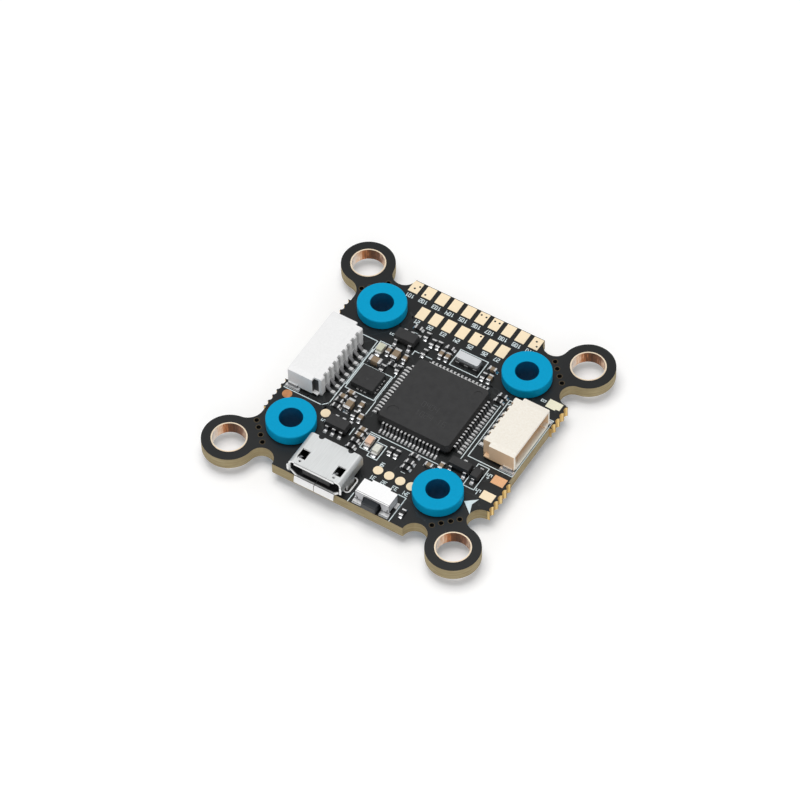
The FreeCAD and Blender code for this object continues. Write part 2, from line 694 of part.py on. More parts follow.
def usb_lip():
    """The lower lip: two plates that bend down in front of the board's edge."""
    points = [vec(USB_X - USB_LIP_HALF, y, BOARD_T + z) for y, z in USB_LIP + USB_LIP[:1]]
    return Part.Face(Part.makePolygon(points)).extrude(vec(2 * USB_LIP_HALF, 0))


def usb_leg(side):
    leg_z = [BOARD_T + z for z in USB_LEG_Z]
    return box(outward(USB_X, side, USB_HALF - USB_SKIN, USB_HALF), span(USB_LEG_Y, USB_LEG_W), leg_z)


def usb_roof_tools(side):
    """The window, dimple and notch in one half of the roof, and the corner cuts in the flare."""
    top = BOARD_T + USB_H
    roof = (top - USB_SKIN - USB_ROUND / 2, top + USB_ROUND)
    upper, lower = USB_LIP_GAP_Z
    gap_x = outward(USB_X, side, USB_LIP_HALF, USB_HALF + CLEAR)
    gap_y = (USB_FRONT_Y - CLEAR, USB_FLARE_Y)
    return [
        block(USB_WINDOW[0], USB_WINDOW[1], roof, USB_X + side * USB_WINDOW_AT[0], USB_WINDOW_AT[1]),
        rod(USB_DIMPLE_R, roof, USB_X + side * USB_DIMPLE_AT[0], USB_DIMPLE_AT[1]),
        rod(USB_NOTCH_R, roof, USB_X + side * USB_NOTCH_X, USB_BACK_Y),
        box(gap_x, gap_y, (top - upper, top + CLEAR)),
        box(gap_x, gap_y, (BOARD_T - CLEAR, BOARD_T + lower)),
    ]


def usb_shell():
    shell = usb_tube(0.0).cut(usb_tube(-USB_SKIN))
    body = joined(shell, usb_lip(), *[usb_leg(side) for side in SIGNS])
    floor = (BOARD_T - CLEAR, BOARD_T + USB_SKIN)
    tools = [
        block(*USB_SEAM, floor, USB_X, USB_FRONT_Y),
        block(USB_TAIL_SLOT[0], 2 * USB_TAIL_SLOT[1], floor, USB_X, USB_BACK_Y),
    ]
    for side in SIGNS:
        tools += usb_roof_tools(side)
    return cut(body, tools)


def usb_insulator():
    """The moulded block at the back of the shell, with the tongue that carries the contacts."""
    back, front = [usb_wire(USB_BACK_Y - depth, -USB_SKIN) for depth in USB_PLUG]
    plug = Part.makeLoft([back, front], True, True)
    width, length, thickness = USB_TONGUE
    low = BOARD_T + USB_TONGUE_Z
    tongue = block(width, length, (low, low + thickness), USB_X, USB_BACK_Y - USB_TONGUE_BACK - length / 2)
    tongue = softened(tongue, USB_TONGUE_ROUND, upright)
    return cut(joined(plug, tongue), usb_contacts())


def usb_contacts():
    """Contacts along the tongue's lower side, down inside the block and out to their feet."""
    low = USB_TONGUE_Z
    thick = USB_CONTACT_T
    front, toe = USB_CONTACT_FRONT, USB_CONTACT_TOE
    drop, back = USB_CONTACT_DROP
    profile = [
        (front, low), (front, low + thick), (back, low + thick), (back, thick), (toe, thick),
        (toe, 0.0), (drop, 0.0), (drop, low),
    ]
    strips = lead_row(prism(profile, USB_CONTACT_W), USB_CONTACTS, USB_CONTACT_PITCH, 90)
    return on_board(strips, (USB_X, USB_BACK_Y))


# ================================================================ boot switch
def switch_base():
    """The moulded base, with a channel that guides the button and a chamber for the dome."""
    z = (BOARD_T, BOARD_T + SWITCH_H - SWITCH_SKIN)
    across = span(SWITCH_X, 2 * (SWITCH_HALF - SWITCH_SKIN))
    body = box(across, (SWITCH_FRONT_Y + SWITCH_SKIN, SWITCH_BACK_Y), z)
    room_z = (BOARD_T + BUTTON_Z - BUTTON_PLAY, BOARD_T + BUTTON_Z + BUTTON_H + BUTTON_PLAY)
    channel_x = span(SWITCH_X, BUTTON_W + 2 * BUTTON_PLAY)
    channel = box(channel_x, (SWITCH_FRONT_Y - CLEAR, BUTTON_FLANGE_Y), room_z)
    flange_w, flange_t = BUTTON_FLANGE
    chamber_back = BUTTON_FLANGE_Y + flange_t + BUTTON_TRAVEL + CHAMBER_ROOM
    chamber_x = span(SWITCH_X, flange_w + 2 * BUTTON_PLAY)
    chamber = box(chamber_x, (BUTTON_FLANGE_Y - BUTTON_PLAY, chamber_back), room_z)
    return cut(body, [channel, chamber])


def switch_cover():
    """A folded metal cover: roof, front lip, side walls and two front corner flaps."""
    top = BOARD_T + SWITCH_H
    roof_z = (top - SWITCH_SKIN, top)
    across = span(SWITCH_X, 2 * SWITCH_HALF)
    front = (SWITCH_FRONT_Y, SWITCH_FRONT_Y + SWITCH_SKIN)
    roof = box(across, (SWITCH_FRONT_Y, SWITCH_BACK_Y), roof_z)
    tab_half, tab_l = SWITCH_TAB
    rear_tab = box(span(SWITCH_X, 2 * tab_half), (SWITCH_BACK_Y, SWITCH_BACK_Y + tab_l), roof_z)
    pieces = [rear_tab, box(across, front, (top - SWITCH_LIP, top))]
    wall_y = (SWITCH_FRONT_Y, SWITCH_BACK_Y - SWITCH_SKIN)
    for side in SIGNS:
        wall_x = outward(SWITCH_X, side, SWITCH_HALF - SWITCH_SKIN, SWITCH_HALF)
        pieces.append(box(wall_x, wall_y, (BOARD_T + SWITCH_WALL_Z, top)))
        pieces.append(switch_flap(side, top))
    width, depth = SWITCH_FOLD
    roof_fold = box(across, span(SWITCH_FRONT_Y + SWITCH_FOLD_IN, width), (top - depth, top))
    lip_fold = box(across, (SWITCH_FRONT_Y, SWITCH_FRONT_Y + depth), span(top - SWITCH_FOLD_DOWN, width))
    return cut(joined(roof, *pieces), [roof_fold, lip_fold])


def switch_flap(side, top):
    """A front corner flap that narrows towards the board."""
    inner, low_inner, low_outer = [SWITCH_X + side * reach for reach in SWITCH_FLAP]
    outer = SWITCH_X + side * SWITCH_HALF
    low = BOARD_T + SWITCH_FLAP_Z
    shoulder = top - SWITCH_LIP
    outline = [(outer, top), (outer, shoulder), (low_outer, low), (low_inner, low), (inner, top)]
    flap = prism(outline, SWITCH_SKIN)
    flap.translate(vec(0, SWITCH_FRONT_Y + SWITCH_SKIN / 2))
    return flap


def switch_terminals():
    """Four feet: two under the front flaps and two beside the rear corners."""
    foot_z = (BOARD_T, BOARD_T + SWITCH_FOOT_T)
    front_y = (SWITCH_FRONT_Y, SWITCH_FRONT_Y + SWITCH_SKIN)
    rear_y = [SWITCH_BACK_Y - inset for inset in SWITCH_EAR_Y]
    feet = []
    for side in SIGNS:
        front_x = outward(SWITCH_X, side, *SWITCH_FOOT)
        foot = box(front_x, (SWITCH_FRONT_Y - SWITCH_FOOT_OUT, front_y[1]), foot_z)
        feet.append(joined(foot, box(front_x, front_y, (BOARD_T, BOARD_T + SWITCH_FLAP_Z))))
        wall = SWITCH_HALF - SWITCH_SKIN
        ear = box(outward(SWITCH_X, side, wall, SWITCH_HALF + SWITCH_EAR_OUT), rear_y, foot_z)
        post_x = outward(SWITCH_X, side, wall, SWITCH_HALF)
        feet.append(joined(ear, box(post_x, rear_y, (BOARD_T, BOARD_T + SWITCH_WALL_Z))))
    return feet


def switch_dome():
    """The snap dome: a thin bowed strip that the button bends."""
    near = BUTTON_FLANGE_Y + BUTTON_FLANGE[1]
    z = BOARD_T + BUTTON_Z + DOME_MARGIN

    def bow(offset):
        ends = [vec(SWITCH_X + sign * DOME_HALF, near + DOME_RISE + offset, z) for sign in SIGNS]
        return Part.Arc(ends[0], vec(SWITCH_X, near + offset, z), ends[1]).toShape(), ends

    front, front_ends = bow(0.0)
    back, back_ends = bow(DOME_T)
    sides = [Part.makeLine(a, b) for a, b in zip(front_ends, back_ends)]
    face = Part.Face(Part.Wire(Part.__sortEdges__([front, back] + sides)))
    return face.extrude(vec(0, 0, BUTTON_H - 2 * DOME_MARGIN))


def boot_button():
    z = (BOARD_T + BUTTON_Z, BOARD_T + BUTTON_Z + BUTTON_H)
    stem = box(span(SWITCH_X, BUTTON_W), (BUTTON_TIP_Y, BUTTON_FLANGE_Y), z)

    def tip_edge(edge):
        return edge.BoundBox.YMax < BUTTON_TIP_Y + TINY

    flange_w, flange_t = BUTTON_FLANGE
    flange = box(span(SWITCH_X, flange_w), (BUTTON_FLANGE_Y, BUTTON_FLANGE_Y + flange_t), z)
    return joined(softened(stem, BUTTON_ROUND, tip_edge), flange)


# ================================================================ resonator and small packages
def resonator():
    """Ceramic base, metal lid and three terminals on each long side of the base."""
    length, width, height = RESONATOR
    base = softened(block(length, width, (0.0, height)), SMALL_ROUND, upright)
    lid_l, lid_w, lid_h = RESONATOR_LID
    lid = softened(block(lid_l, lid_w, (height, height + lid_h)), LID_ROUND, upright)
    terminal_w, terminal_t, terminal_h = RESONATOR_TERMINAL
    terminals = []
    for x in RESONATOR_TERMINALS:
        for side in SIGNS:
            ys = outward(0.0, side, width / 2, width / 2 + terminal_t)
            terminals.append(box(span(x, terminal_w), ys, (0.0, terminal_h)))
    return base, lid, terminals


def sot_leads(body, tip, front, back):
    """Leads on the front and back sides; each list holds offsets along the body."""
    lead_z = (body[2] - SMALL_LEAD_T) / 2
    lead = gull_lead(body[1] / 2, tip, SMALL_FOOT, lead_z, SMALL_LEAD_T, SMALL_LEAD_W)
    leads = []
    for turn, offsets in ((-90, front), (90, back)):
        for x in offsets:
            leads.append(placed(lead, (x, 0.0), turn, 0.0))
    return leads


def sot_body(size):
    return moulded_body(size, SMALL_STAND, SMALL_CORNER)


def regulators():
    """The bodies and leads of all the five- and six-lead regulators, one of them under the board."""
    three = (-SOT_PITCH, 0.0, SOT_PITCH)
    two = (-SOT_PITCH, SOT_PITCH)
    body = sot_body(SOT_BODY)
    six_leads = sot_leads(SOT_BODY, SOT_TIP, three, three)
    bodies = [placed(body, FIVE_LEAD_AT), placed(body, SIX_LEAD_AT), hung(body, CONVERTER_AT, 90)]
    leads = on_board(sot_leads(SOT_BODY, SOT_TIP, two, three), FIVE_LEAD_AT)
    leads += on_board(six_leads, SIX_LEAD_AT) + under_board(six_leads, CONVERTER_AT, 90)
    return bodies, leads


def diode():
    length, _, height = DIODE_BODY
    lead_z = (height - SMALL_LEAD_T) / 2
    lead = gull_lead(length / 2, DIODE_TIP, SMALL_FOOT, lead_z, SMALL_LEAD_T, SMALL_LEAD_W)
    return sot_body(DIODE_BODY), [placed(lead, (0.0, 0.0), turn, 0.0) for turn in (0, 180)]


# ================================================================ chip parts
def chip_part(size, cap_length):
    """A chip part's ceramic body, and its two metal end caps."""
    length, width, height = size
    body = block(length - 2 * cap_length, width, (CAP_LIP, height - CAP_LIP))
    caps = []
    for side in SIGNS:
        outside = side * length / 2

        def outer(edge, outside=outside):
            bounds = edge.BoundBox
            flat = abs(bounds.XMin - outside) < TINY and abs(bounds.XMax - outside) < TINY
            return flat and bounds.ZMax > TINY

        xs = outward(0.0, side, length / 2 - cap_length, length / 2)
        cap = box(xs, span(0.0, width + 2 * CAP_LIP), (0.0, height))
        caps.append(softened(cap, CAP_ROUND, outer))
    return body, caps


def chip_parts(size, cap_length, spots, under_spots):
    body, caps = chip_part(size, cap_length)
    bodies = [placed(body, spot[:2], spot[2]) for spot in spots]
    bodies += [hung(body, spot[:2], spot[2]) for spot in under_spots]
    ends = [placed(cap, spot[:2], spot[2]) for spot in spots for cap in caps]
    ends += [hung(cap, spot[:2], spot[2]) for spot in under_spots for cap in caps]
    return bodies, ends


def led_parts():
    """An LED's base, lens and terminals, at the origin."""
    length, width, height = LED_BASE
    base = block(length - 2 * LED_TERMINAL, width, (0.0, height))
    lens_l, lens_w, lens_h = LED_LENS
    lens = softened(block(lens_l, lens_w, (height, height + lens_h)), LED_ROUND, upright)
    terminals = []
    for side in SIGNS:
        xs = outward(0.0, side, length / 2 - LED_TERMINAL, length / 2)
        terminals.append(box(xs, span(0.0, width), (0.0, height)))
    return base, lens, terminals


# ================================================================ underside parts
def video_chip():
    """A shrink package with a row of leads on each long side."""
    lead_z = (VIDEO_CHIP[2] - SMALL_LEAD_T) / 2
    root = VIDEO_CHIP[1] / 2
    lead = gull_lead(root, VIDEO_CHIP_TIP, MCU_FOOT, lead_z, SMALL_LEAD_T, VIDEO_CHIP_LEAD_W)
    leads = []
    for turn in (90, 270):
        leads += lead_row(lead, VIDEO_CHIP_LEADS, VIDEO_CHIP_PITCH, turn)
    return moulded_body(VIDEO_CHIP, SMALL_STAND, SMALL_CORNER), leads


def flash_chip():
    body = softened(block(FLASH[0], FLASH[1], (PAD_T, FLASH[2])), IMU_ROUND, upright)
    inner, outer, width = FLASH_PAD
    pad = box((inner, outer), span(0.0, width), (0.0, PAD_T))
    return body, [p for turn in (0, 180) for p in lead_row(pad, FLASH_PADS, FLASH_PITCH, turn)]


def power_inductor():
    length, width, height = INDUCTOR
    inner, end_w, end_t = INDUCTOR_END
    core = softened(block(length, width, (end_t, height)), INDUCTOR_ROUND, upright)
    ends = [box(outward(0.0, side, inner, length / 2), span(0.0, end_w), (0.0, end_t)) for side in SIGNS]
    return core, ends


def barometer():
    """A metal lid with a vent hole, on a small base."""
    base_l, base_w, base_h = BAROMETER
    lid_l, lid_w, lid_h = BAROMETER_LID
    top = base_h + lid_h
    lid = softened(block(lid_l, lid_w, (base_h, top)), BAROMETER_ROUND, upright)
    x, y, r = BAROMETER_HOLE
    vent = rod(r, (top - BAROMETER_HOLE_DEPTH, top + CLEAR), x, y)
    return block(base_l, base_w, (0.0, base_h)), cut(lid, [vent])


# ================================================================ build
def save_board():
    save("circuit_board", [circuit_board()])
    save("hole_plating", hole_plating())
    save("edge_plating", edge_plating())
    save("solder_pads", solder_pads())
    for sy, end in ((-1, "front"), (1, "back")):
        for sx, hand in ((-1, "left"), (1, "right")):
            save(f"grommet_{end}_{hand}", [placed(grommet(), (sx * GROMMET, sy * GROMMET), z=0.0)])


def save_processor():
    save("processor_package", [mcu_package()])
    save("processor_leads", mcu_leads())
    save("motion_sensor_package", [imu_package()])
    save("motion_sensor_pads", imu_pads())


def save_sockets():
    for name, pins, at, turn in (("eight_pin", 8, EIGHT_PIN_AT, 0), ("six_pin", 6, SIX_PIN_AT, 180)):
        save(f"{name}_socket_housing", on_board([socket_housing(pins)], at, turn))
        save(f"{name}_socket_pins", on_board(socket_pins(pins), at, turn))
        save(f"{name}_socket_tabs", on_board(socket_tabs(pins), at, turn))
    save("usb_shell", [usb_shell()])
    save("usb_insulator", [usb_insulator()])
    save("usb_contacts", usb_contacts())


def save_switch():
    save("boot_switch_base", [switch_base()])
    save("boot_switch_cover", [switch_cover()])
    save("boot_switch_terminals", switch_terminals())
    save("boot_switch_dome", [switch_dome()])
    save("boot_button", [boot_button()])


def save_packages():
    base, lid, terminals = resonator()
    save("resonator_base", on_board([base], RESONATOR_AT))
    save("resonator_lid", on_board([lid], RESONATOR_AT))
    save("resonator_terminals", on_board(terminals, RESONATOR_AT))
    bodies, leads = regulators()
    save("regulator_bodies", bodies)
    save("regulator_leads", leads)
    save("transistor_body", on_board([sot_body(SOT3_BODY)], SOT3_AT))
    leads = sot_leads(SOT3_BODY, SOT3_TIP, (-SOT_PITCH, SOT_PITCH), (0.0,))
    save("transistor_leads", on_board(leads, SOT3_AT))
    body, leads = diode()
    save("diode_body", on_board([body], DIODE_AT, 90))
    save("diode_leads", on_board(leads, DIODE_AT, 90))


def save_chip_parts():
    base, lens, terminals = led_parts()
    save("led_bases", [placed(base, spot[:2], spot[2]) for spot in LEDS])
    save("led_lenses", [placed(lens, spot[:2], spot[2]) for spot in LEDS])
    save("led_terminals", [placed(end, spot[:2], spot[2]) for spot in LEDS for end in terminals])
    small = chip_parts(SIZE_0402, END_CAP, CAPACITORS_0402, UNDER_CAPACITORS_0402)
    large = chip_parts(SIZE_0603, END_CAP_0603, CAPACITORS_0603, UNDER_CAPACITORS_0603)
    save("capacitor_bodies", small[0] + large[0])
    save("capacitor_end_caps", small[1] + large[1])
    bodies, ends = chip_parts(SIZE_0402_FLAT, END_CAP, RESISTORS, UNDER_RESISTORS)
    save("resistor_bodies", bodies)
    save("resistor_end_caps", ends)


def save_underside():
    body, leads = video_chip()
    save("video_chip_package", under_board([body], VIDEO_CHIP_AT))
    save("video_chip_leads", under_board(leads, VIDEO_CHIP_AT))
    body, pads = flash_chip()
    save("flash_chip_package", under_board([body], FLASH_AT))
    save("flash_chip_pads", under_board(pads, FLASH_AT))
    core, ends = power_inductor()
    save("power_inductor_core", under_board([core], INDUCTOR_AT))
    save("power_inductor_ends", under_board(ends, INDUCTOR_AT))
    base, lid = barometer()
    save("barometer_base", under_board([base], BAROMETER_AT))
    save("barometer_lid", under_board([lid], BAROMETER_AT))


def build():
    os.makedirs("parts", exist_ok=True)
    save_board()
    save_processor()
    save_sockets()
    save_switch()
    save_packages()
    save_chip_parts()
    save_underside()


build()
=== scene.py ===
import math
import random

import bmesh
import bpy
from mathutils import Matrix, Quaternion, Vector
from mathutils.bvhtree import BVHTree


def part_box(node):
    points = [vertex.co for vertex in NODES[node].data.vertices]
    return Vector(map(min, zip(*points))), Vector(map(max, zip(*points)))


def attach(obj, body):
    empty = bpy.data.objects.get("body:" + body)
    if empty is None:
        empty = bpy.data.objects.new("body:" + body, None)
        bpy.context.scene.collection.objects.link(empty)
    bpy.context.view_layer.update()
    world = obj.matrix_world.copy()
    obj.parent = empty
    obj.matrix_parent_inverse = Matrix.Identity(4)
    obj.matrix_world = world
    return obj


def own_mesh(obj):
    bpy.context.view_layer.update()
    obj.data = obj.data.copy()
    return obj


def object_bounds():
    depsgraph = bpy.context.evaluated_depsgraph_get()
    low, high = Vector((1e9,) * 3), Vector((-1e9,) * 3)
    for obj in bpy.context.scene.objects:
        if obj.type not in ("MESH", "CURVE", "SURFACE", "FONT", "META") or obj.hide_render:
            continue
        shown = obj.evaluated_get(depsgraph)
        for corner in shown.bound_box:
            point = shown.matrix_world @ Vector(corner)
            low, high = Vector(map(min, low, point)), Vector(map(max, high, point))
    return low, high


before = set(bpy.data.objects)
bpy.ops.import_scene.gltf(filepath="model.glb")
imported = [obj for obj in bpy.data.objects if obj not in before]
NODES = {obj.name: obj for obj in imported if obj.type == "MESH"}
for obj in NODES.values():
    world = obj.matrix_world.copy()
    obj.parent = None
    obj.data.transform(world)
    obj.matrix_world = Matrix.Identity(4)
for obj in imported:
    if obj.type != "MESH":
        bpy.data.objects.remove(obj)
LOW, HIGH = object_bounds()
MM = 0.001
SAME = 1e-7          # points this close are one point
BOARD_LOW, BOARD_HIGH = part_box("circuit_board")
TOP, UNDER = BOARD_HIGH.z, BOARD_LOW.z
rng = random.Random(7)


# ================================================================ materials
def srgb(red, green, blue):
    """Linear colour from display values of 0 to 255."""
    def linear(v):
        v /= 255
        return v / 12.92 if v <= 0.04045 else ((v + 0.055) / 1.055) ** 2.4
    return (linear(red), linear(green), linear(blue), 1.0)


def scaled(colour, k):
    return tuple(min(1.0, c * k) for c in colour[:3]) + (1.0,)


class Graph:
    """A material's node tree, with short calls for adding and linking nodes."""

    def __init__(self, name):
        self.material = bpy.data.materials.new(name)
        self.material.use_nodes = True
        self.tree = self.material.node_tree
        self.shader = self.tree.nodes["Principled BSDF"]
        self.place = self.add("ShaderNodeTexCoord").outputs["Object"]

    def add(self, kind, settings=None, **inputs):
        node = self.tree.nodes.new(kind)
        for key, value in (settings or {}).items():
            setattr(node, key, value)
        for key, value in inputs.items():
            self.set(node, key.replace("_", " "), value)
        return node

    def set(self, node, key, value):
        socket = node.inputs[key]
        if isinstance(value, bpy.types.NodeSocket):
            self.tree.links.new(value, socket)
        else:
            socket.default_value = value

    def noise(self, scale, detail=3.0, place=None):
        """Noise with about this many features to the metre."""
        node = self.add("ShaderNodeTexNoise", Vector=place or self.place, Scale=scale, Detail=detail)
        return node.outputs["Fac"]

    def stretched(self, x, y, z, detail=3.0):
        """Noise with its own number of features to the metre along each axis."""
        place = self.add("ShaderNodeMapping", Vector=self.place, Scale=(x, y, z)).outputs["Vector"]
        return self.noise(1.0, detail, place)

    def ramp(self, value, stops):
        node = self.add("ShaderNodeValToRGB", Fac=value)
        elements = node.color_ramp.elements
        while len(elements) < len(stops):
            elements.new(0.5)
        for element, (at, colour) in zip(elements, stops):
            element.position = at
            element.color = colour
        return node.outputs["Color"]

    def spread(self, value, low, high, start=0.3, end=0.7):
        """A value between start and end, stretched to run from low to high."""
        node = self.add("ShaderNodeMapRange", Value=value)
        for key, at in (("From Min", start), ("From Max", end), ("To Min", low), ("To Max", high)):
            self.set(node, key, at)
        return node.outputs["Result"]

    def mix(self, factor, first, second):
        node = self.add("ShaderNodeMix", {"data_type": "RGBA"})
        for index, value in ((0, factor), (6, first), (7, second)):
            self.set(node, index, value)
        return node.outputs[2]

    def math(self, kind, first, second=0.0):
        node = self.add("ShaderNodeMath", {"operation": kind})
        self.set(node, 0, first)
        self.set(node, 1, second)
        return node.outputs[0]

    def position(self, axis):
        return self.add("ShaderNodeSeparateXYZ", Vector=self.place).outputs[axis]

    def normal(self, axis):
        node = self.add("ShaderNodeNewGeometry")
        return self.add("ShaderNodeSeparateXYZ", Vector=node.outputs["True Normal"]).outputs[axis]

    def bump(self, height, strength, relief):
        """Bump from a height; relief is in millimetres."""
        node = self.add("ShaderNodeBump", Height=height, Strength=strength, Distance=relief * MM)
        self.set(self.shader, "Normal", node.outputs["Normal"])

    def finish(self, colour, rough, metal=0.0, **extra):
        for key, value in (("Base Color", colour), ("Roughness", rough), ("Metallic", metal)):
            self.set(self.shader, key, value)
        for key, value in extra.items():
            self.set(self.shader, key.replace("_", " "), value)
        return self.material


def surface(name, colour, rough, metal=0.0, grain=9000, mottle=0.1, bump=0.15, relief=0.01, **extra):
    """A general finish: mottled colour, uneven roughness and a fine grain."""
    g = Graph(name)
    fine = g.noise(grain, 4.0)
    broad = g.noise(grain / 14, 2.0)
    tone = g.ramp(fine, [(0.3, scaled(colour, 1 - mottle)), (0.7, scaled(colour, 1 + mottle))])
    tone = g.mix(g.spread(broad, 0.0, 0.5), tone, scaled(colour, 1 - 0.6 * mottle))
    g.bump(fine, bump, relief)
    return g.finish(tone, g.spread(broad, rough - 0.08, rough + 0.08), metal, **extra)


def brushed(name, colour, rough, along):
    """Stamped sheet metal with faint rolling lines along X or Y."""
    g = Graph(name)
    lines = g.stretched(*{"x": (400, 9000, 9000), "y": (9000, 400, 9000)}[along])
    g.bump(lines, 0.12, 0.006)
    tone = g.ramp(lines, [(0.35, scaled(colour, 0.96)), (0.65, scaled(colour, 1.03))])
    return g.finish(tone, g.spread(g.noise(500, 2.0), rough - 0.05, rough + 0.06), 1.0)


def board_material():
    """Black solder mask on the faces, and layered tan laminate on every cut edge."""
    g = Graph("black_solder_mask")
    on_face = g.math("GREATER_THAN", g.math("ABSOLUTE", g.normal("Z")), 0.7)
    fine = g.noise(14000, 4.0)
    mask = g.ramp(g.noise(350, 3.0), [(0.3, srgb(10, 12, 13)), (0.7, srgb(17, 20, 21))])
    layers = g.stretched(500, 500, 6000)
    fibre = g.ramp(layers, [
        (0.25, srgb(142, 124, 88)), (0.5, srgb(160, 144, 106)), (0.75, srgb(176, 161, 124)),
    ])
    g.bump(g.mix(on_face, layers, fine), 0.2, 0.008)
    rough = g.math("SUBTRACT", 0.75, g.math("MULTIPLY", on_face, 0.38))
    return g.finish(g.mix(on_face, fibre, mask), rough)


def edge_gold_painted_reflections():
    """Plated scallops with painted reflections: pale where they face the front, deep gold where they
    face out.
    """
    g = Graph("edge_gold_painted_reflections")
    facing = g.spread(g.math("MULTIPLY", g.normal("Y"), -1.0), 0.0, 1.0, 0.25, 0.8)
    streaks = g.stretched(9000, 9000, 700)
    # Painted reflection: deep gold on faces turned outward, pale gold on faces turned to the front.
    deep = g.ramp(streaks, [(0.3, srgb(96, 70, 16)), (0.7, srgb(206, 158, 52))])
    pale = g.ramp(streaks, [(0.3, srgb(226, 184, 104)), (0.7, srgb(255, 228, 164))])
    g.bump(streaks, 0.3, 0.012)
    return g.finish(g.mix(facing, deep, pale), 0.36, 0.7)


def barrel_copper_painted_reflections():
    """The plated wall of a corner hole, with painted reflections: pale at its left and right, deep brown
    between.
    """
    g = Graph("barrel_copper_painted_reflections")
    turn = math.radians(32)
    right = g.math("MULTIPLY", g.normal("X"), math.cos(turn))
    away = g.math("MULTIPLY", g.normal("Y"), math.sin(turn))
    across = g.math("ADD", right, away)
    streaks = g.stretched(3500, 3500, 900, 2.0)
    rings = g.stretched(2500, 2500, 9000)
    place = g.math("ADD", g.spread(across, 0.0, 1.0, -1.0, 1.0), g.spread(streaks, -0.07, 0.07))
    # Painted reflections: the tone follows which way the wall faces.
    tone = g.ramp(place, [
        (0.02, srgb(240, 202, 168)), (0.14, srgb(128, 80, 48)), (0.34, srgb(66, 38, 18)),
        (0.52, srgb(104, 62, 32)), (0.64, srgb(186, 118, 70)), (0.78, srgb(244, 206, 172)),
        (0.92, srgb(255, 244, 232)),
    ])
    tone = g.mix(g.spread(rings, 0.0, 0.2), tone, srgb(134, 84, 46))
    g.bump(rings, 0.3, 0.008)
    return g.finish(tone, 0.3, 0.7)


def plated(name, bright, slope_shade, metal, rough, lines=()):
    """Thin metal: painted reflections, bright on flats and darker on slopes, and painted shade on fold
    lines.
    """
    g = Graph(name)
    flatness = g.spread(g.math("ABSOLUTE", g.normal("Z")), 0.0, 1.0, 0.55, 0.97)
    fine = g.noise(4000, 3.0)
    # Painted reflection: flat faces take the bright tone, sloped faces the darker one.
    tone = g.mix(flatness, srgb(slope_shade, slope_shade, slope_shade + 3), srgb(bright, bright, bright))
    tone = g.mix(g.spread(fine, 0.0, 0.05), tone, srgb(90, 92, 94))
    # Each line is painted shade along a fold.
    for axis, at, half in lines:
        fold_shade = g.add("ShaderNodeMath", {"operation": "COMPARE"})
        for index, value in enumerate((g.position(axis), at, half)):
            g.set(fold_shade, index, value)
        tone = g.mix(g.math("MULTIPLY", fold_shade.outputs[0], 0.7), tone, srgb(70, 72, 74))
    g.bump(fine, 0.12, 0.008)
    return g.finish(tone, g.spread(fine, rough - 0.05, rough + 0.05), metal)


def cover_fold_shades():
    """The two fold lines along the front of the switch's cover, in painted shade: axis, place and half
    width.
    """
    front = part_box("boot_switch_base")[0].y
    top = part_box("boot_switch_cover")[1].z
    return [("Y", front + 0.02 * MM, 0.035 * MM), ("Z", top - 0.1 * MM, 0.03 * MM)]


def white_nylon():
    """White nylon, with the deep ends of the comb's slots and the pockets beside the comb in shade."""
    g = Graph("white_nylon")
    low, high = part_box("eight_pin_socket_housing")
    shell_depth, comb_edge, roof = 3.39 * MM, 0.4 * MM, 0.35 * MM
    deep = g.math("LESS_THAN", g.position("X"), high.x - comb_edge)
    outside = g.math("GREATER_THAN", g.position("X"), low.x + shell_depth)
    below = g.math("LESS_THAN", g.position("Z"), high.z - roof)
    upright = g.math("LESS_THAN", g.math("ABSOLUTE", g.normal("Z")), 0.5)
    shade = g.math("MULTIPLY", g.math("MULTIPLY", deep, outside), g.math("MULTIPLY", below, upright))
    fine = g.noise(5000, 4.0)
    tone = g.ramp(fine, [(0.3, srgb(237, 237, 237)), (0.7, srgb(243, 243, 243))])
    g.bump(fine, 0.12, 0.01)
    return g.finish(g.mix(shade, tone, srgb(66, 66, 66)), 0.48)


def shaded_steel():
    """The inside of the USB shell: dark, but for a strip at the mouth that the light reaches."""
    g = Graph("shaded_steel")
    lip, strip = 0.25 * MM, 0.5 * MM
    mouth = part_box("usb_shell")[0].y + lip
    depth = g.spread(g.position("Y"), 0.0, 1.0, mouth, mouth + strip)
    dark, bright = srgb(44, 44, 46), srgb(236, 238, 238)
    tone = g.ramp(depth, [(0.1, dark), (0.2, bright), (0.45, bright), (0.7, dark)])
    fine = g.noise(6000, 3.0)
    g.bump(fine, 0.15, 0.01)
    return g.finish(tone, g.spread(fine, 0.4, 0.5), 0.5)


def warm_nylon():
    """Cream nylon: its shaded sides and its inside are painted tan, as painted shade tinted by light
    passing through it.
    """
    g = Graph("cream_nylon")
    low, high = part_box("six_pin_socket_housing")
    sunk = g.spread(g.position("Z"), 1.0, 0.0, low.z, high.z - 0.3 * MM)
    inside = g.spread(g.position("X"), 1.0, 0.0, high.x - 0.7 * MM, high.x - 0.05 * MM)
    side = g.spread(g.math("MULTIPLY", g.normal("Y"), -1.0), 0.0, 0.75, 0.3, 1.0)
    fine = g.noise(5000, 4.0)
    tone = g.ramp(fine, [(0.3, srgb(238, 231, 218)), (0.7, srgb(245, 240, 230))])
    # Painted shade: front-facing sides and the low inside are mixed towards tan.
    shade = g.math("MAXIMUM", side, g.math("MULTIPLY", sunk, inside))
    g.bump(fine, 0.12, 0.01)
    return g.finish(g.mix(shade, tone, srgb(226, 184, 136)), 0.5)


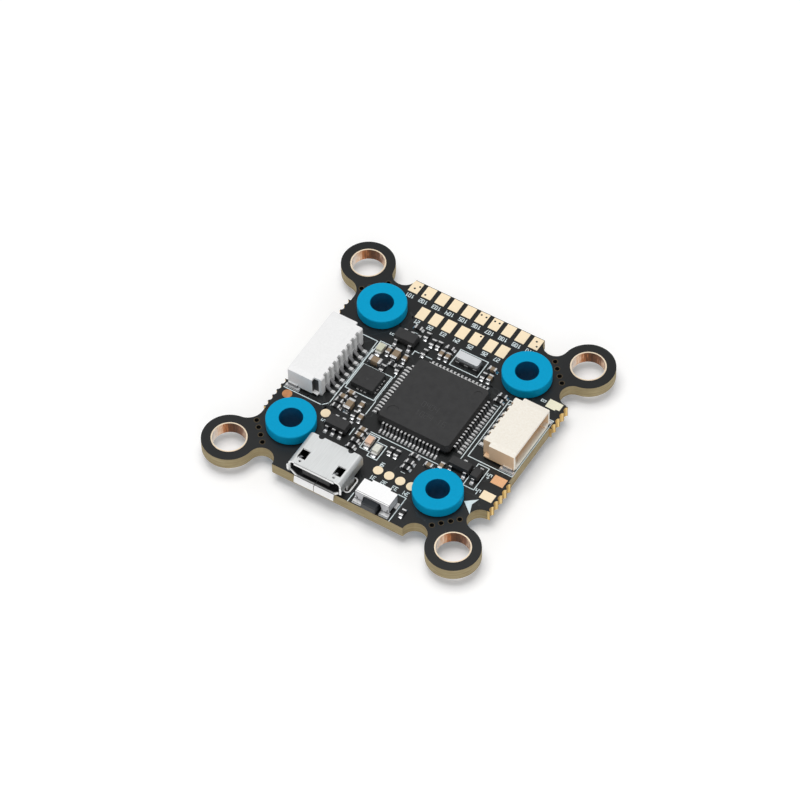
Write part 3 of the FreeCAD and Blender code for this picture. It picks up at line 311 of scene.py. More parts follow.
MASK = board_material()
TRACE = surface("mask_over_copper", srgb(30, 33, 34), 0.36, grain=6000, mottle=0.12)
GOLD = surface("immersion_gold", srgb(255, 233, 198), 0.5, 0.0, grain=7000, mottle=0.04, bump=0.2)
ORANGE_GOLD = surface("thin_gold", srgb(240, 186, 140), 0.42, 0.4, grain=6000, mottle=0.08, bump=0.25)
# A darker orange gold for the pads by the left edge.
DARK_GOLD = surface("darker_orange_gold", srgb(214, 148, 100), 0.4, 0.4, grain=1500, mottle=0.2, bump=0.25)
PALE_GOLD = surface("pale_gold", srgb(248, 243, 216), 0.42, 0.3, grain=6000, mottle=0.04, bump=0.2)
RIM_GOLD = surface("rim_gold", srgb(255, 232, 204), 0.4, 0.4, grain=3000, mottle=0.08, bump=0.25)
# USB slots: the rim is painted white as a highlight, and the wall is painted dark as shade.
SLOT_RIM_HIGHLIGHT = surface("slot_rim_painted_highlight", srgb(255, 255, 253), 0.35, 0.0, grain=3000, mottle=0.06, bump=0.3)
SLOT_WALL_SHADE = surface("slot_wall_painted_shade", srgb(118, 100, 74), 0.4, 0.5, grain=2500, mottle=0.3, bump=0.3)
SNAP_RIM = surface("snap_hole_rim", srgb(92, 76, 48), 0.5, 0.3, grain=3000, mottle=0.2, bump=0.25)
EDGE_GOLD = edge_gold_painted_reflections()
BARREL = barrel_copper_painted_reflections()
SILICONE = surface(
    "blue_silicone", srgb(0, 156, 202), 0.6, grain=3500, mottle=0.04, bump=0.12, relief=0.02,
    Specular_IOR_Level=0.06, Coat_Weight=0.06, Coat_Roughness=0.3,
)
BORE_SILICONE = surface(
    "bore_silicone", srgb(0, 84, 124), 0.6, grain=3500, mottle=0.08, bump=0.12, Specular_IOR_Level=0.1,
)
CHIP = surface("moulded_epoxy", srgb(36, 36, 37), 0.6, grain=16000, mottle=0.16, bump=0.45, relief=0.012)
CHIP_MARK = surface("laser_mark", srgb(60, 60, 61), 0.7, grain=20000, mottle=0.15, bump=0.4)
# Tinned leads: painted reflections, bright on the flats and darker on the slopes.
TIN = plated("tinned_metal", 250, 128, 0.85, 0.32)
SOLDER = surface(
    "solder", srgb(240, 242, 244), 0.28, 1.0, grain=1800, mottle=0.12, bump=0.3, relief=0.02,
)
WHITE_NYLON = white_nylon()
CREAM_NYLON = warm_nylon()
SHELL = brushed("usb_shell_steel", srgb(219, 221, 221), 0.5, "y")
SHELL_INSIDE = shaded_steel()
# Front-facing edges and lip of the USB shell: white, a painted reflection of the bright surroundings.
SHELL_EDGE_REFLECTION = surface(
    "steel_edge_painted_reflection", srgb(255, 255, 255), 0.35, 0.0, grain=4000, mottle=0.03, bump=0.1,
)
# The switch's cover: painted reflections by slope, and painted shade along its two fold lines.
COVER = plated("switch_cover_steel", 254, 206, 0.35, 0.5, cover_fold_shades())
LID = brushed("lid_metal", srgb(222, 224, 226), 0.5, "x")
BLACK_PLASTIC = surface("black_plastic", srgb(20, 20, 22), 0.5, grain=9000, mottle=0.15, bump=0.25)
BUTTON = surface("button_plastic", srgb(22, 28, 34), 0.35, grain=6000, mottle=0.12, bump=0.2)
CONTACT = surface("contact_gold", srgb(236, 200, 120), 0.25, 1.0, grain=5000, mottle=0.06)
CERAMIC = surface("pale_ceramic", srgb(206, 200, 188), 0.6, grain=11000, mottle=0.08, bump=0.3)
DARK_CERAMIC = surface("dark_ceramic", srgb(40, 40, 42), 0.5, grain=11000, mottle=0.15, bump=0.3)
BROWN = surface("brown_ceramic", srgb(142, 122, 98), 0.5, grain=9000, mottle=0.22, bump=0.3)
RESISTOR = surface("resistor_glaze", srgb(30, 31, 33), 0.32, grain=9000, mottle=0.15, bump=0.15)
FERRITE = surface("grey_ferrite", srgb(84, 85, 88), 0.6, grain=8000, mottle=0.2, bump=0.4)
PRINT = surface("white_print", srgb(222, 234, 236), 0.6, grain=12000, mottle=0.1, bump=0.25)
HOLE_DARK = surface("via_shadow", srgb(10, 8, 7), 0.7, grain=9000, mottle=0.2)
LENSES = [
    surface(name, colour, 0.25, grain=2500, mottle=0.12, Transmission_Weight=0.1, Coat_Weight=0.5)
    for name, colour in (
        ("clear_lens", srgb(220, 220, 196)),
        ("amber_lens", srgb(244, 204, 176)),
        ("white_lens", srgb(238, 238, 226)),
    )
]

FINISHES = {
    "circuit_board": MASK,
    "eight_pin_socket_housing": WHITE_NYLON,
    "six_pin_socket_housing": CREAM_NYLON,
    "usb_shell": SHELL,
    "usb_insulator": BLACK_PLASTIC,
    "usb_contacts": CONTACT,
    "boot_switch_base": BLACK_PLASTIC,
    "boot_switch_cover": COVER,
    "boot_switch_dome": LID,
    "boot_button": BUTTON,
    "resonator_base": DARK_CERAMIC,
    "resonator_lid": LID,
    "led_bases": CERAMIC,
    "capacitor_bodies": BROWN,
    "resistor_bodies": RESISTOR,
    "power_inductor_core": FERRITE,
    "barometer_base": CERAMIC,
    "barometer_lid": LID,
}
CHIPS = (
    "processor_package", "motion_sensor_package", "regulator_bodies", "transistor_body",
    "diode_body", "video_chip_package", "flash_chip_package",
)


def repaint(name, materials, pick):
    """Gives each face of a node the material whose index pick(place, normal) returns."""
    mesh = NODES[name].data
    mesh.materials.clear()
    for material in materials:
        mesh.materials.append(material)
    for face in mesh.polygons:
        face.material_index = pick(face.center, face.normal)


def flat(normal):
    return abs(normal.z) > 0.7


LEFT_PADS, RIGHT_PADS = -12 * MM, 13.5 * MM      # the pads by the side edges lie beyond these
CORNER_HOLES = 12 * MM                           # and the corner holes beyond this


def pad_tone(place, normal):
    """Pads are pale gold, but the left one is a darker orange and those on the right differ."""
    if place.x < LEFT_PADS:
        return 2
    if place.x > RIGHT_PADS and place.y > 0:
        return 3
    if place.x > RIGHT_PADS and place.y > -6 * MM:
        return 1
    return 0


def hole_tone(place, normal):
    """Corner holes: a copper wall of painted reflections, a pale rim. USB slots: a wall of painted
    shade, a painted highlight rim.
    """
    slot = 2 if abs(place.x) < CORNER_HOLES else 0
    return slot + int(flat(normal))


def towards(middle, place, normal, axes):
    """How far a face's normal points at a middle line that runs along the axis left out."""
    return sum((middle[axis] - place[axis]) * normal[axis] for axis in axes)


def board_tone():
    """The walls of the small snap-off holes are too deep in shade to show their laminate."""
    holes = snap_holes()

    def pick(place, normal):
        near = any(math.hypot(place.x - x, place.y - y) < r + 0.03 * MM for x, y, r in holes)
        return int(near and not flat(normal))

    return pick


def bore_tone(node):
    """A grommet's bore is in shade, so its wall is a darker blue than its flanges."""
    middle = centre(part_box(node))
    return lambda place, normal: int(towards(middle, place, normal, (0, 1)) > 0 and abs(normal.z) < 0.5)


def shell_tone(place, normal):
    """The shell is painted dark inside as shade, and bright on the edges and the lip that face the plug
    as a painted reflection.
    """
    if normal.y < -0.6:
        return 2
    middle = centre(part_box("usb_shell"))
    middle.z = (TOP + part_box("usb_shell")[1].z) / 2
    inside = towards(middle, place, normal, (0, 2)) > 0.3 * MM and abs(normal.y) < 0.5
    return int(inside and place.z > TOP)


def lens_tone(place, normal):
    return 0 if place.y > 0 else 1 if place.x < 0 else 2


def finish_of(name):
    """Grommets are silicone, and whatever is not named in FINISHES is tinned metal."""
    if name.startswith("grommet"):
        return SILICONE
    if name in CHIPS:
        return CHIP
    return FINISHES.get(name, TIN)


def paint_nodes():
    for name, node in NODES.items():
        node.data.materials.clear()
        node.data.materials.append(finish_of(name))
    repaint("edge_plating", [EDGE_GOLD, MASK], lambda place, normal: int(flat(normal)))
    repaint("hole_plating", [BARREL, RIM_GOLD, SLOT_WALL_SHADE, SLOT_RIM_HIGHLIGHT], hole_tone)
    repaint("solder_pads", [GOLD, ORANGE_GOLD, DARK_GOLD, PALE_GOLD], pad_tone)
    repaint("led_lenses", LENSES, lens_tone)
    repaint("usb_shell", [SHELL, SHELL_INSIDE, SHELL_EDGE_REFLECTION], shell_tone)
    repaint("circuit_board", [MASK, HOLE_DARK], board_tone())
    for name in NODES:
        if name.startswith("grommet"):
            repaint(name, [SILICONE, BORE_SILICONE], bore_tone(name))


SOFTENED = {
    0.03: ("motion_sensor_package", "regulator_bodies", "transistor_body", "diode_body",
           "boot_switch_cover", "video_chip_package", "flash_chip_package"),
    0.05: ("eight_pin_socket_housing", "six_pin_socket_housing", "processor_package"),
    0.06: ("power_inductor_core", "barometer_lid", "led_lenses"),
    0.1: ("resonator_lid",),
}
SHARP = math.radians(35)


def soften_edges():
    """Moulded and stamped edges catch a little light: SOFTENED gives widths in millimetres."""
    for width, names in SOFTENED.items():
        for name in names:
            weld = NODES[name].modifiers.new("weld", "WELD")
            weld.merge_threshold = SAME
            bevel = NODES[name].modifiers.new("bevel", "BEVEL")
            bevel.width = width * MM
            bevel.segments = 2
            bevel.limit_method = "ANGLE"
            bevel.angle_limit = SHARP


# ================================================================ mesh helpers
def welded(node):
    """A bmesh of a CAD node, with the points that its faces share made one."""
    bm = bmesh.new()
    bm.from_mesh(NODES[node].data)
    bmesh.ops.remove_doubles(bm, verts=bm.verts, dist=SAME)
    return bm


def groups(verts, neighbours):
    """The boxes round the connected groups of vertices, each as (low, high)."""
    left = set(verts)
    found = []
    while left:
        start = min(left, key=lambda v: v.index)
        left.discard(start)
        group, ahead = [start], [start]
        while ahead:
            for other in neighbours(ahead.pop()):
                if other in left:
                    left.discard(other)
                    group.append(other)
                    ahead.append(other)
        low = Vector([min(v.co[i] for v in group) for i in range(3)])
        high = Vector([max(v.co[i] for v in group) for i in range(3)])
        found.append((low, high))
    return found


def islands(node):
    """(low, high) of each separate solid in a CAD node."""
    bm = welded(node)
    found = groups(bm.verts, lambda vert: [edge.other_vert(vert) for edge in vert.link_edges])
    bm.free()
    return sorted(found, key=lambda b: tuple(b[0]))


def centre(b):
    return (b[0] + b[1]) / 2


def skin(bm, rows):
    """Faces between each ring of vertices and the next."""
    for a, b in zip(rows, rows[1:]):
        for n in range(len(a)):
            m = (n + 1) % len(a)
            bm.faces.new((a[n], a[m], b[m], b[n]))


def loft(bm, rings):
    """A closed solid through rings of equal length."""
    rows = [[bm.verts.new(p) for p in ring] for ring in rings]
    skin(bm, rows)
    bm.faces.new(rows[0][::-1])
    bm.faces.new(rows[-1])


def plate(bm, points, low, high):
    """A flat plate with a given outline, from low to high."""
    loft(bm, [[Vector((x, y, z)) for x, y in points] for z in (low, high)])


def circle(x, y, radius, count=20):
    turn = 2 * math.pi / count
    return [(x + radius * math.cos(n * turn), y + radius * math.sin(n * turn)) for n in range(count)]


def mitred(points, width, closed=False):
    """One four-sided outline for each stretch of a path, mitred where stretches meet."""
    path = [Vector(p) for p in points]
    half = width / 2
    if not closed:
        path[0] = path[0] - (path[1] - path[0]).normalized() * half
        path[-1] = path[-1] + (path[-1] - path[-2]).normalized() * half
    count = len(path)
    pairs = []
    for n, here in enumerate(path):
        into = here - path[n - 1] if closed or n > 0 else path[1] - here
        out = path[(n + 1) % count] - here if closed or n < count - 1 else into
        into, out = into.normalized(), out.normalized()
        across = Vector((-(into + out).y, (into + out).x)).normalized()
        reach = half / max(0.4, across.dot(Vector((-into.y, into.x))))
        pairs.append((here + across * reach, here - across * reach))
    following = pairs[1:] + pairs[:1] if closed else pairs[1:]
    return [(a[1], b[1], b[0], a[0]) for a, b in zip(pairs, following)]


def finished(name, bm, material, smooth=False):
    """A piece from a bmesh: normals made to face out, riding on the board."""
    bmesh.ops.recalc_face_normals(bm, faces=bm.faces)
    mesh = bpy.data.meshes.new(name)
    bm.to_mesh(mesh)
    bm.free()
    mesh.materials.append(material)
    if smooth:
        mesh.shade_smooth()
    obj = bpy.data.objects.new(name, mesh)
    bpy.context.scene.collection.objects.link(obj)
    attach(obj, "board")
    return obj


# ================================================================ white print
PRINT_T = 0.014 * MM
LINE = 0.11 * MM
# Strokes of each sign, on a grid one unit wide and two high.
DIGITS = {
    "0": [[(0, 0), (1, 0), (1, 2), (0, 2), (0, 0)]],
    "1": [[(0.1, 1.6), (0.5, 2), (0.5, 0)]],
    "2": [[(0, 2), (1, 2), (1, 1), (0, 1), (0, 0), (1, 0)]],
    "3": [[(0, 2), (1, 2), (1, 0), (0, 0)], [(0.25, 1), (0.8, 1)]],
    "4": [[(0, 2), (0, 1), (0.85, 1)], [(1, 2), (1, 0)]],
    "5": [[(1, 2), (0, 2), (0, 1), (1, 1), (1, 0), (0, 0)]],
    "6": [[(1, 2), (0, 2), (0, 0), (1, 0), (1, 1), (0.15, 1)]],
    "7": [[(0, 2), (1, 2), (0.4, 0)]],
    "8": [[(0, 0), (1, 0), (1, 2), (0, 2), (0, 0)], [(0.15, 1), (0.85, 1)]],
    "9": [[(0.85, 1), (0, 1), (0, 2), (1, 2), (1, 0), (0, 0)]],
    "+": [[(0, 1), (1, 1)], [(0.5, 0.5), (0.5, 0.9)], [(0.5, 1.1), (0.5, 1.5)]],
    "-": [[(0, 1), (1, 1)]],
}


class Print:
    """Collects printed strokes lying on one level: the board's top, its underside or a chip."""

    def __init__(self, level=TOP, under=False):
        self.bm = bmesh.new()
        self.z = (level - PRINT_T, level) if under else (level, level + PRINT_T)
        self.hand = -1 if under else 1

    def path(self, points, width=LINE, closed=False):
        for outline in mitred(points, width, closed):
            plate(self.bm, outline, *self.z)

    def frame(self, low, high, width=LINE):
        (x0, y0), (x1, y1) = low, high
        self.path([(x0, y0), (x1, y0), (x1, y1), (x0, y1)], width, True)

    def number(self, text, x, y, height=0.5 * MM, turn=0, width=0.09 * MM):
        """Digits centred on x, y and turned by so many degrees."""
        size = height / 2
        step = size * 1.55
        start = (step * (1 - len(text)) - size) / 2
        turned = Matrix.Rotation(math.radians(turn), 2)
        for n, digit in enumerate(text):
            for line in DIGITS[digit]:
                local = [Vector((start + n * step + u * size, (v - 1) * size)) for u, v in line]
                for point in local:
                    point.rotate(turned)
                self.path([(x + self.hand * point.x, y + point.y) for point in local], width)


def around(b, left, right, front, back):
    """A frame round a box, with a margin in millimetres on each side."""
    low, high = b
    return (low.x - left * MM, low.y - front * MM), (high.x + right * MM, high.y + back * MM)


def socket_print(ink):
    """Open frames round the two wire sockets, a diagonal mark and a small triangle."""
    side = 0.65 * MM
    low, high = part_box("eight_pin_socket_housing")
    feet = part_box("eight_pin_socket_pins")[1].x + 0.2 * MM
    front, back = low.y - side, high.y + side
    ink.path([(low.x - 0.15 * MM, front), (feet, front), (feet, back), (low.x + 3.7 * MM, back)])
    ink.path([(feet, front), (feet - 0.65 * MM, front), (feet, front + 0.7 * MM)], closed=True)
    low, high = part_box("six_pin_socket_housing")
    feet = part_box("six_pin_socket_pins")[0].x - 0.3 * MM
    ink.frame((feet, low.y - side), (high.x + 0.12 * MM, high.y + side))
    ink.path([(feet + 0.15 * MM, high.y + 0.05 * MM), (feet + 0.5 * MM, high.y + 0.4 * MM)])


def processor_print(ink):
    """A broken frame outside the leads, and a frame with two thick bars round the motion sensor."""
    low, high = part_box("processor_leads")
    right, front, left, back = high.x + 0.35 * MM, low.y - 0.5 * MM, low.x - 0.52 * MM, high.y + 0.3 * MM
    ink.path([(right, high.y - 1.5 * MM), (right, low.y + 1.4 * MM)])
    ink.path([(low.x + 1.4 * MM, front), (high.x - 1.5 * MM, front)])
    ink.path([(left, low.y + 1.4 * MM), (left, high.y - 4.0 * MM)])
    ink.path([(left + 0.6 * MM, back), (left, back), (left, back - 0.6 * MM)])
    ink.path([(low.x + 1.0 * MM, back), (low.x + 1.8 * MM, back)])
    low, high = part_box("motion_sensor_package")
    ink.frame(*around((low, high), 0.42, 0.5, 0.55, 0.5))
    bar = low.x - 0.65 * MM
    ink.path([(bar, low.y), (bar, high.y + 2.8 * MM)], 0.26 * MM)
    bar = high.x + 0.72 * MM
    ink.path([(bar, low.y - 0.4 * MM), (bar, high.y + 0.4 * MM)], 0.22 * MM)


def part_print(ink):
    """Frames round the resonator, the diode, two of the lights and the boot switch."""
    ink.frame(*around(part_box("resonator_base"), 0.35, 0.25, 0.55, 0.75))
    ink.frame(*around(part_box("diode_body"), 0.18, 0.13, 1.0, 0.9))
    for low, high in islands("led_bases"):
        if high.z > TOP and low.y < 0:
            ink.frame(*around((low, high), 0.26, 0.26, 0.62, 0.62))
        elif high.z > TOP:
            x0, y0, y1 = low.x - 0.3 * MM, low.y - 0.3 * MM, high.y + 0.6 * MM
            ink.path([(x0, y0), (x0, y1), (high.x + 0.3 * MM, y1), (high.x + 0.3 * MM, high.y)])
    low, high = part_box("boot_switch_cover")
    left, right, back = low.x - 0.62 * MM, high.x + 0.46 * MM, high.y + 0.7 * MM
    front = BOARD_LOW.y + 2.65 * MM
    ink.path([(left, front), (left, low.y + 0.6 * MM)])
    ink.path([(right, front), (right, back), (right - 1.0 * MM, back)])
    low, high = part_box("led_bases")
    x = low.x + 3.9 * MM
    ink.path([(x, low.y + 0.9 * MM), (x, low.y + 2.0 * MM)])


def pad_row(low_y, high_y):
    """Pads on the top whose front edges lie between two heights in Y, from left to right."""
    pads = [pad for pad in islands("solder_pads") if pad[1].z > TOP]
    return [pad for pad in pads if low_y < pad[0].y < high_y]


EDGE_ROW = (13 * MM, BOARD_HIGH.y)
INNER_ROW = (11 * MM, 12 * MM)
ROUND_ROW = (-11.5 * MM, -10.5 * MM)


def pad_numbers(ink):
    """Plain numbers beside the solder pads."""
    for rows, first, gap in ((EDGE_ROW, 101, 0.55), (INNER_ROW, 21, 0.5), (ROUND_ROW, 31, 0.6)):
        for n, pad in enumerate(pad_row(*rows)):
            ink.number(str(first + n), centre(pad).x, pad[0].y - gap * MM, turn=180)
    right = [pad for pad in pad_row(BOARD_LOW.y, BOARD_HIGH.y) if pad[0].x > 13 * MM]
    right.sort(key=lambda pad: -pad[0].y)
    for pad, label in zip(right, ("8", "+5", "-5")):
        ink.number(label, pad[0].x - 0.55 * MM, centre(pad).y, 0.56 * MM, 90)
    first = pad_row(*ROUND_ROW)[0]
    ink.number("04", centre(first).x, first[1].y + 0.35 * MM, 0.4 * MM, 90)


def direction_arrow(ink):
    """A solid arrow head beside the front right grommet, pointing at the front edge's corner."""
    middle = centre(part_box("grommet_front_right"))
    shape = ((2.95, 0.97), (4.45, -0.3), (3.95, 1.05), (4.3, 2.05))
    plate(ink.bm, [(middle.x + x * MM, middle.y + y * MM) for x, y in shape], *ink.z)


def small_labels(ink):
    """A number beside two of the regulators, and a short bar before every fifth resistor."""
    for (low, high), label in zip(islands("regulator_bodies")[:2], ("5", "6")):
        if high.z > TOP:
            ink.number(label, low.x - 0.55 * MM, centre((low, high)).y, 0.5 * MM, 90)
    for n, (low, high) in enumerate(islands("resistor_bodies")):
        if high.z > TOP and n % 5 == 0:
            ink.path([(low.x, low.y - 0.42 * MM), (high.x, low.y - 0.42 * MM)], 0.07 * MM)


def board_print():
    ink = Print()
    for draw in (socket_print, processor_print, part_print, pad_numbers, direction_arrow, small_labels):
        draw(ink)
    finished("board_print", ink.bm, PRINT)


def underside_print():
    ink = Print(UNDER, under=True)
    for node in ("video_chip_leads", "flash_chip_package", "power_inductor_core", "barometer_base"):
        ink.frame(*around(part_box(node), 0.35, 0.35, 0.35, 0.35))
    pads = [pad for pad in islands("solder_pads") if pad[0].z < UNDER]
    for n, pad in enumerate(pads):
        ink.number(str(201 + n), centre(pad).x, pad[0].y - 0.55 * MM)
    finished("underside_print", ink.bm, PRINT)


def chip_marks():
    """Plain numbers etched on the larger chips."""
    for name, node, rows in (("processor_marks", "processor_package", ("0404", "1024 16")),
                             ("motion_sensor_marks", "motion_sensor_package", ("06",))):
        low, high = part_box(node)
        ink = Print(high.z)
        size = (high.x - low.x) * 0.075
        for n, row in enumerate(rows):
            for m, word in enumerate(row.split()):
                x = low.x + (high.x - low.x) * (0.5 + 0.24 * m)
                ink.number(word, x, low.y + (high.y - low.y) * (0.42 - 0.14 * n), size, 0, 0.05 * MM)
        for vert in ink.bm.verts:
            vert.co.z = high.z + (vert.co.z - high.z) * 0.4
        finished(name, ink.bm, CHIP_MARK)


# ================================================================ tracks and vias
TRACK_T = 0.01 * MM
TRACK_COUNT = 80
TRACK_SAMPLES = 6            # places tested along each stretch
TRACK_WIDTHS = (0.14, 0.18, 0.26)
VIA_R = 0.16 * MM
EDGE_ROOM = 0.35 * MM        # tracks keep this far from edges and holes
PAD_VIA_R = 0.13 * MM
SNAP_HOLE_MOST = 0.8 * MM
# Holes in the pads: the pad's number in its row, and places in mm from the pad's middle.
EDGE_PAD_VIAS = {
    0: [(0.41, 0.26), (-0.04, -0.24)], 1: [(-0.29, -0.44)], 5: [(-0.34, 0.4), (0.35, 0.36)],
    6: [(-0.31, 0.38), (0.31, 0.38)], 9: [(-0.05, 0.28), (0.32, -0.37)],
}
INNER_PAD_VIAS = {4: [(0.32, 0.61)]}


def board_probe():
    """A test for whether a point, and a little room round it, is over solid board."""
    mesh = NODES["circuit_board"].data
    faces = [tuple(face.vertices) for face in mesh.polygons]
    tree = BVHTree.FromPolygons([vert.co for vert in mesh.vertices], faces)

    def solid(x, y):
        for dx, dy in ((0, 0), (1, 0), (-1, 0), (0, 1), (0, -1)):
            above = Vector((x + dx * EDGE_ROOM, y + dy * EDGE_ROOM, TOP + MM))
            hit = tree.ray_cast(above, Vector((0, 0, -1)))[0]
            if hit is None or hit.z < TOP - 0.1 * MM:
                return False
        return True

    return solid


def wander(solid):
    """A track: a few straight stretches joined at 45 degrees, kept on the board."""
    at = Vector((rng.uniform(-13, 15), rng.uniform(-14, 14))) * MM
    heading = rng.randrange(8)
    path = [at]
    for _ in range(rng.randrange(2, 5)):
        length = rng.uniform(0.6, 2.6) * MM
        step = Vector((math.cos(heading * math.pi / 4), math.sin(heading * math.pi / 4)))
        samples = [at + step * length * k / TRACK_SAMPLES for k in range(TRACK_SAMPLES + 1)]
        if not all(solid(*point) for point in samples):
            break
        at = samples[-1]
        path.append(at)
        heading = (heading + rng.choice((-1, 1))) % 8
    return path


def tracks():
    """Copper tracks and covered vias that show as low ridges under the mask, on both faces."""
    solid = board_probe()
    for name, z, out in (("board_tracks", TOP, 1), ("underside_tracks", UNDER, -1)):
        bm = bmesh.new()
        level = sorted((z, z + out * TRACK_T))
        for _ in range(TRACK_COUNT):
            path = wander(solid)
            if len(path) < 2:
                continue
            for outline in mitred(path, rng.choice(TRACK_WIDTHS) * MM):
                plate(bm, outline, *level)
            x, y = path[0]
            reach = [(VIA_R, 0.0), (0.8 * VIA_R, 1.3 * TRACK_T), (0.45 * VIA_R, 1.5 * TRACK_T)]
            loft(bm, [[Vector((u, v, z + out * h)) for u, v in circle(x, y, r)] for r, h in reach])
        finished(name, bm, TRACE)


def pad_vias():
    """Small drilled holes in some of the pads, drawn as thin discs of painted shade."""
    bm = bmesh.new()
    for rows, vias in ((EDGE_ROW, EDGE_PAD_VIAS), (INNER_ROW, INNER_PAD_VIAS)):
        pads = pad_row(*rows)
        for n, spots in vias.items():
            middle, top = centre(pads[n]), pads[n][1].z
            for dx, dy in spots:
                ring = circle(middle.x + dx * MM, middle.y + dy * MM, PAD_VIA_R)
                plate(bm, ring, top - 0.02 * MM, top + 0.004 * MM)
    finished("pad_vias", bm, HOLE_DARK)


def snap_hole_rims():
    """Thin bare copper rims round the snap-off holes, found from the board's own mesh."""
    bm = bmesh.new()
    top = TOP + 0.012 * MM
    for hole_x, hole_y, radius in snap_holes():
        inner = circle(hole_x, hole_y, radius + 0.01 * MM)
        outer = circle(hole_x, hole_y, radius + 0.07 * MM)
        section = ((inner, TOP), (outer, TOP), (outer, top), (inner, top))
        rows = [[bm.verts.new((x, y, z)) for x, y in ring] for ring, z in section]
        skin(bm, rows + rows[:1])
    finished("snap_hole_rims", bm, SNAP_RIM)


def snap_holes():
    """(x, y, radius) of the smallest round holes in the board's top face."""
    bm = welded("circuit_board")
    links = {}
    for edge in bm.edges:
        a, b = edge.verts
        level = abs(a.co.z - TOP) < SAME and abs(b.co.z - TOP) < SAME
        if level and len({flat(face.normal) for face in edge.link_faces}) == 2:
            links.setdefault(a, []).append(b)
            links.setdefault(b, []).append(a)
    found = []
    for low, high in groups(links, links.get):
        wide, deep = high.x - low.x, high.y - low.y
        if max(wide, deep) < SNAP_HOLE_MOST:
            found.append(((low.x + high.x) / 2, (low.y + high.y) / 2, (wide + deep) / 4))
    bm.free()
    return sorted(found)


# ================================================================ solder
CAP_SOLDER = 0.26 * MM       # how far the solder runs out from an end cap
CAP_RISE = 0.55              # and how far up it climbs, as a share of the cap
SOLDER_LEAST = 0.015 * MM    # thickness at its edge
SOLDER_LAP = 0.03 * MM       # how far it reaches into the metal that it joins


def fillet(bm, b, axis, sign):
    """A concave solder fillet on the outer face of an end cap."""
    low, high = b
    across = 1 - axis
    up = low.z >= TOP - 0.1 * MM
    ground, lift = (TOP, 1) if up else (UNDER, -1)
    face = high[axis] if sign > 0 else low[axis]
    mid = (low[across] + high[across]) / 2
    half = (high[across] - low[across]) / 2 + 0.02 * MM
    height = (high.z - low.z) * CAP_RISE
    narrow, taper = 0.72, 0.12
    rings = []
    steps = 5
    for n in range(steps + 1):
        t = n / steps
        top = height * (1 - t) ** 2 + SOLDER_LEAST
        ring = []
        for side, z in ((-1.0, 0.0), (1.0, 0.0), (narrow, 1.0), (-narrow, 1.0)):
            p = Vector((0, 0, ground + lift * top * z))
            p[axis] = face + sign * (CAP_SOLDER * t - SOLDER_LAP)
            p[across] = mid + side * half * (1 - taper * t)
            ring.append(p)
        rings.append(ring)
    loft(bm, rings)


def pool(bm, low, high, height, ground, lift):
    """A low solder pool under a foot."""
    inset = 0.05 * MM
    rings = []
    for share, z in ((0.0, 0.0), (0.25, 0.6), (1.0, 1.0)):
        g = share * inset
        left, right, front, back = low.x + g, high.x - g, low.y + g, high.y - g
        corners = [(left, front), (right, front), (right, back), (left, back)]
        rings.append([Vector((x, y, ground + lift * height * z)) for x, y in corners])
    loft(bm, rings)


def nearest(b, bodies):
    return min(bodies, key=lambda other: (centre(other) - centre(b)).length)


def outward(b, bodies):
    """The axis and sign that lead away from the nearest body."""
    offset = centre(b) - centre(nearest(b, bodies))
    axis = 0 if abs(offset.x) > abs(offset.y) else 1
    return axis, 1 if offset[axis] > 0 else -1


CAPPED = [
    ("capacitor_end_caps", "capacitor_bodies"),
    ("resistor_end_caps", "resistor_bodies"),
    ("led_terminals", "led_bases"),
]


def chip_solder():
    bm = bmesh.new()
    for caps, bodies in CAPPED:
        solids = islands(bodies)
        for cap in islands(caps):
            fillet(bm, cap, *outward(cap, solids))
    finished("chip_solder_fillets", bm, SOLDER, smooth=True)


FOOT_SOLDER = 0.14 * MM      # how far the solder runs out from a foot's toe
FOOT_POOL, TAB_POOL = 0.06 * MM, 0.08 * MM     # heights

# Leads, the bodies they come from and the length of their feet in mm.
LEADED = [
    ("processor_leads", "processor_package", 0.5),
    ("regulator_leads", "regulator_bodies", 0.35),
    ("transistor_leads", "transistor_body", 0.35),
    ("diode_leads", "diode_body", 0.35),
    ("video_chip_leads", "video_chip_package", 0.5),
    ("eight_pin_socket_pins", "eight_pin_socket_housing", 0.55),
    ("six_pin_socket_pins", "six_pin_socket_housing", 0.55),
    ("boot_switch_terminals", "boot_switch_base", 0.4),
]


def side_of(b, body):
    """The axis and sign of the side of a body that a lead leaves from."""
    gaps = []
    for axis in (0, 1):
        gaps.append((b[1][axis] - body[1][axis], axis, 1))
        gaps.append((body[0][axis] - b[0][axis], axis, -1))
    return max(gaps)[1:]


def lead_solder():
    bm = bmesh.new()
    for leads, body, foot in LEADED:
        solids = islands(body)
        for lead in islands(leads):
            axis, sign = side_of(lead, nearest(lead, solids))
            low, high = lead[0].copy(), lead[1].copy()
            if sign > 0:
                low[axis] = lead[1][axis] - foot * MM
                high[axis] += FOOT_SOLDER
            else:
                high[axis] = lead[0][axis] + foot * MM
                low[axis] -= FOOT_SOLDER
            low[1 - axis] -= SOLDER_LAP
            high[1 - axis] += SOLDER_LAP
            up = centre(lead).z > (TOP + UNDER) / 2
            pool(bm, low, high, FOOT_POOL, TOP if up else UNDER, 1 if up else -1)
    for tabs in ("eight_pin_socket_tabs", "six_pin_socket_tabs"):
        for low, high in islands(tabs):
            margin = Vector((0.08, 0.08, 0.0)) * MM
            pool(bm, low - margin, high + margin, TAB_POOL, TOP, 1)
    finished("lead_solder", bm, SOLDER)


# ================================================================ USB and switch details
SPRING_SHIFT = -0.3 * MM     # of the two springs, from the shell's middle
SPRING_HALF = 2.42 * MM      # half the distance between them
SPRING_START = 1.22 * MM     # behind the shell's front
SPRING_L, SPRING_W, SPRING_T = 0.8 * MM, 0.34 * MM, 0.1 * MM
SPRING_TOP = 0.16 * MM       # below the shell's top
SPRING_DIP = 0.5 * MM


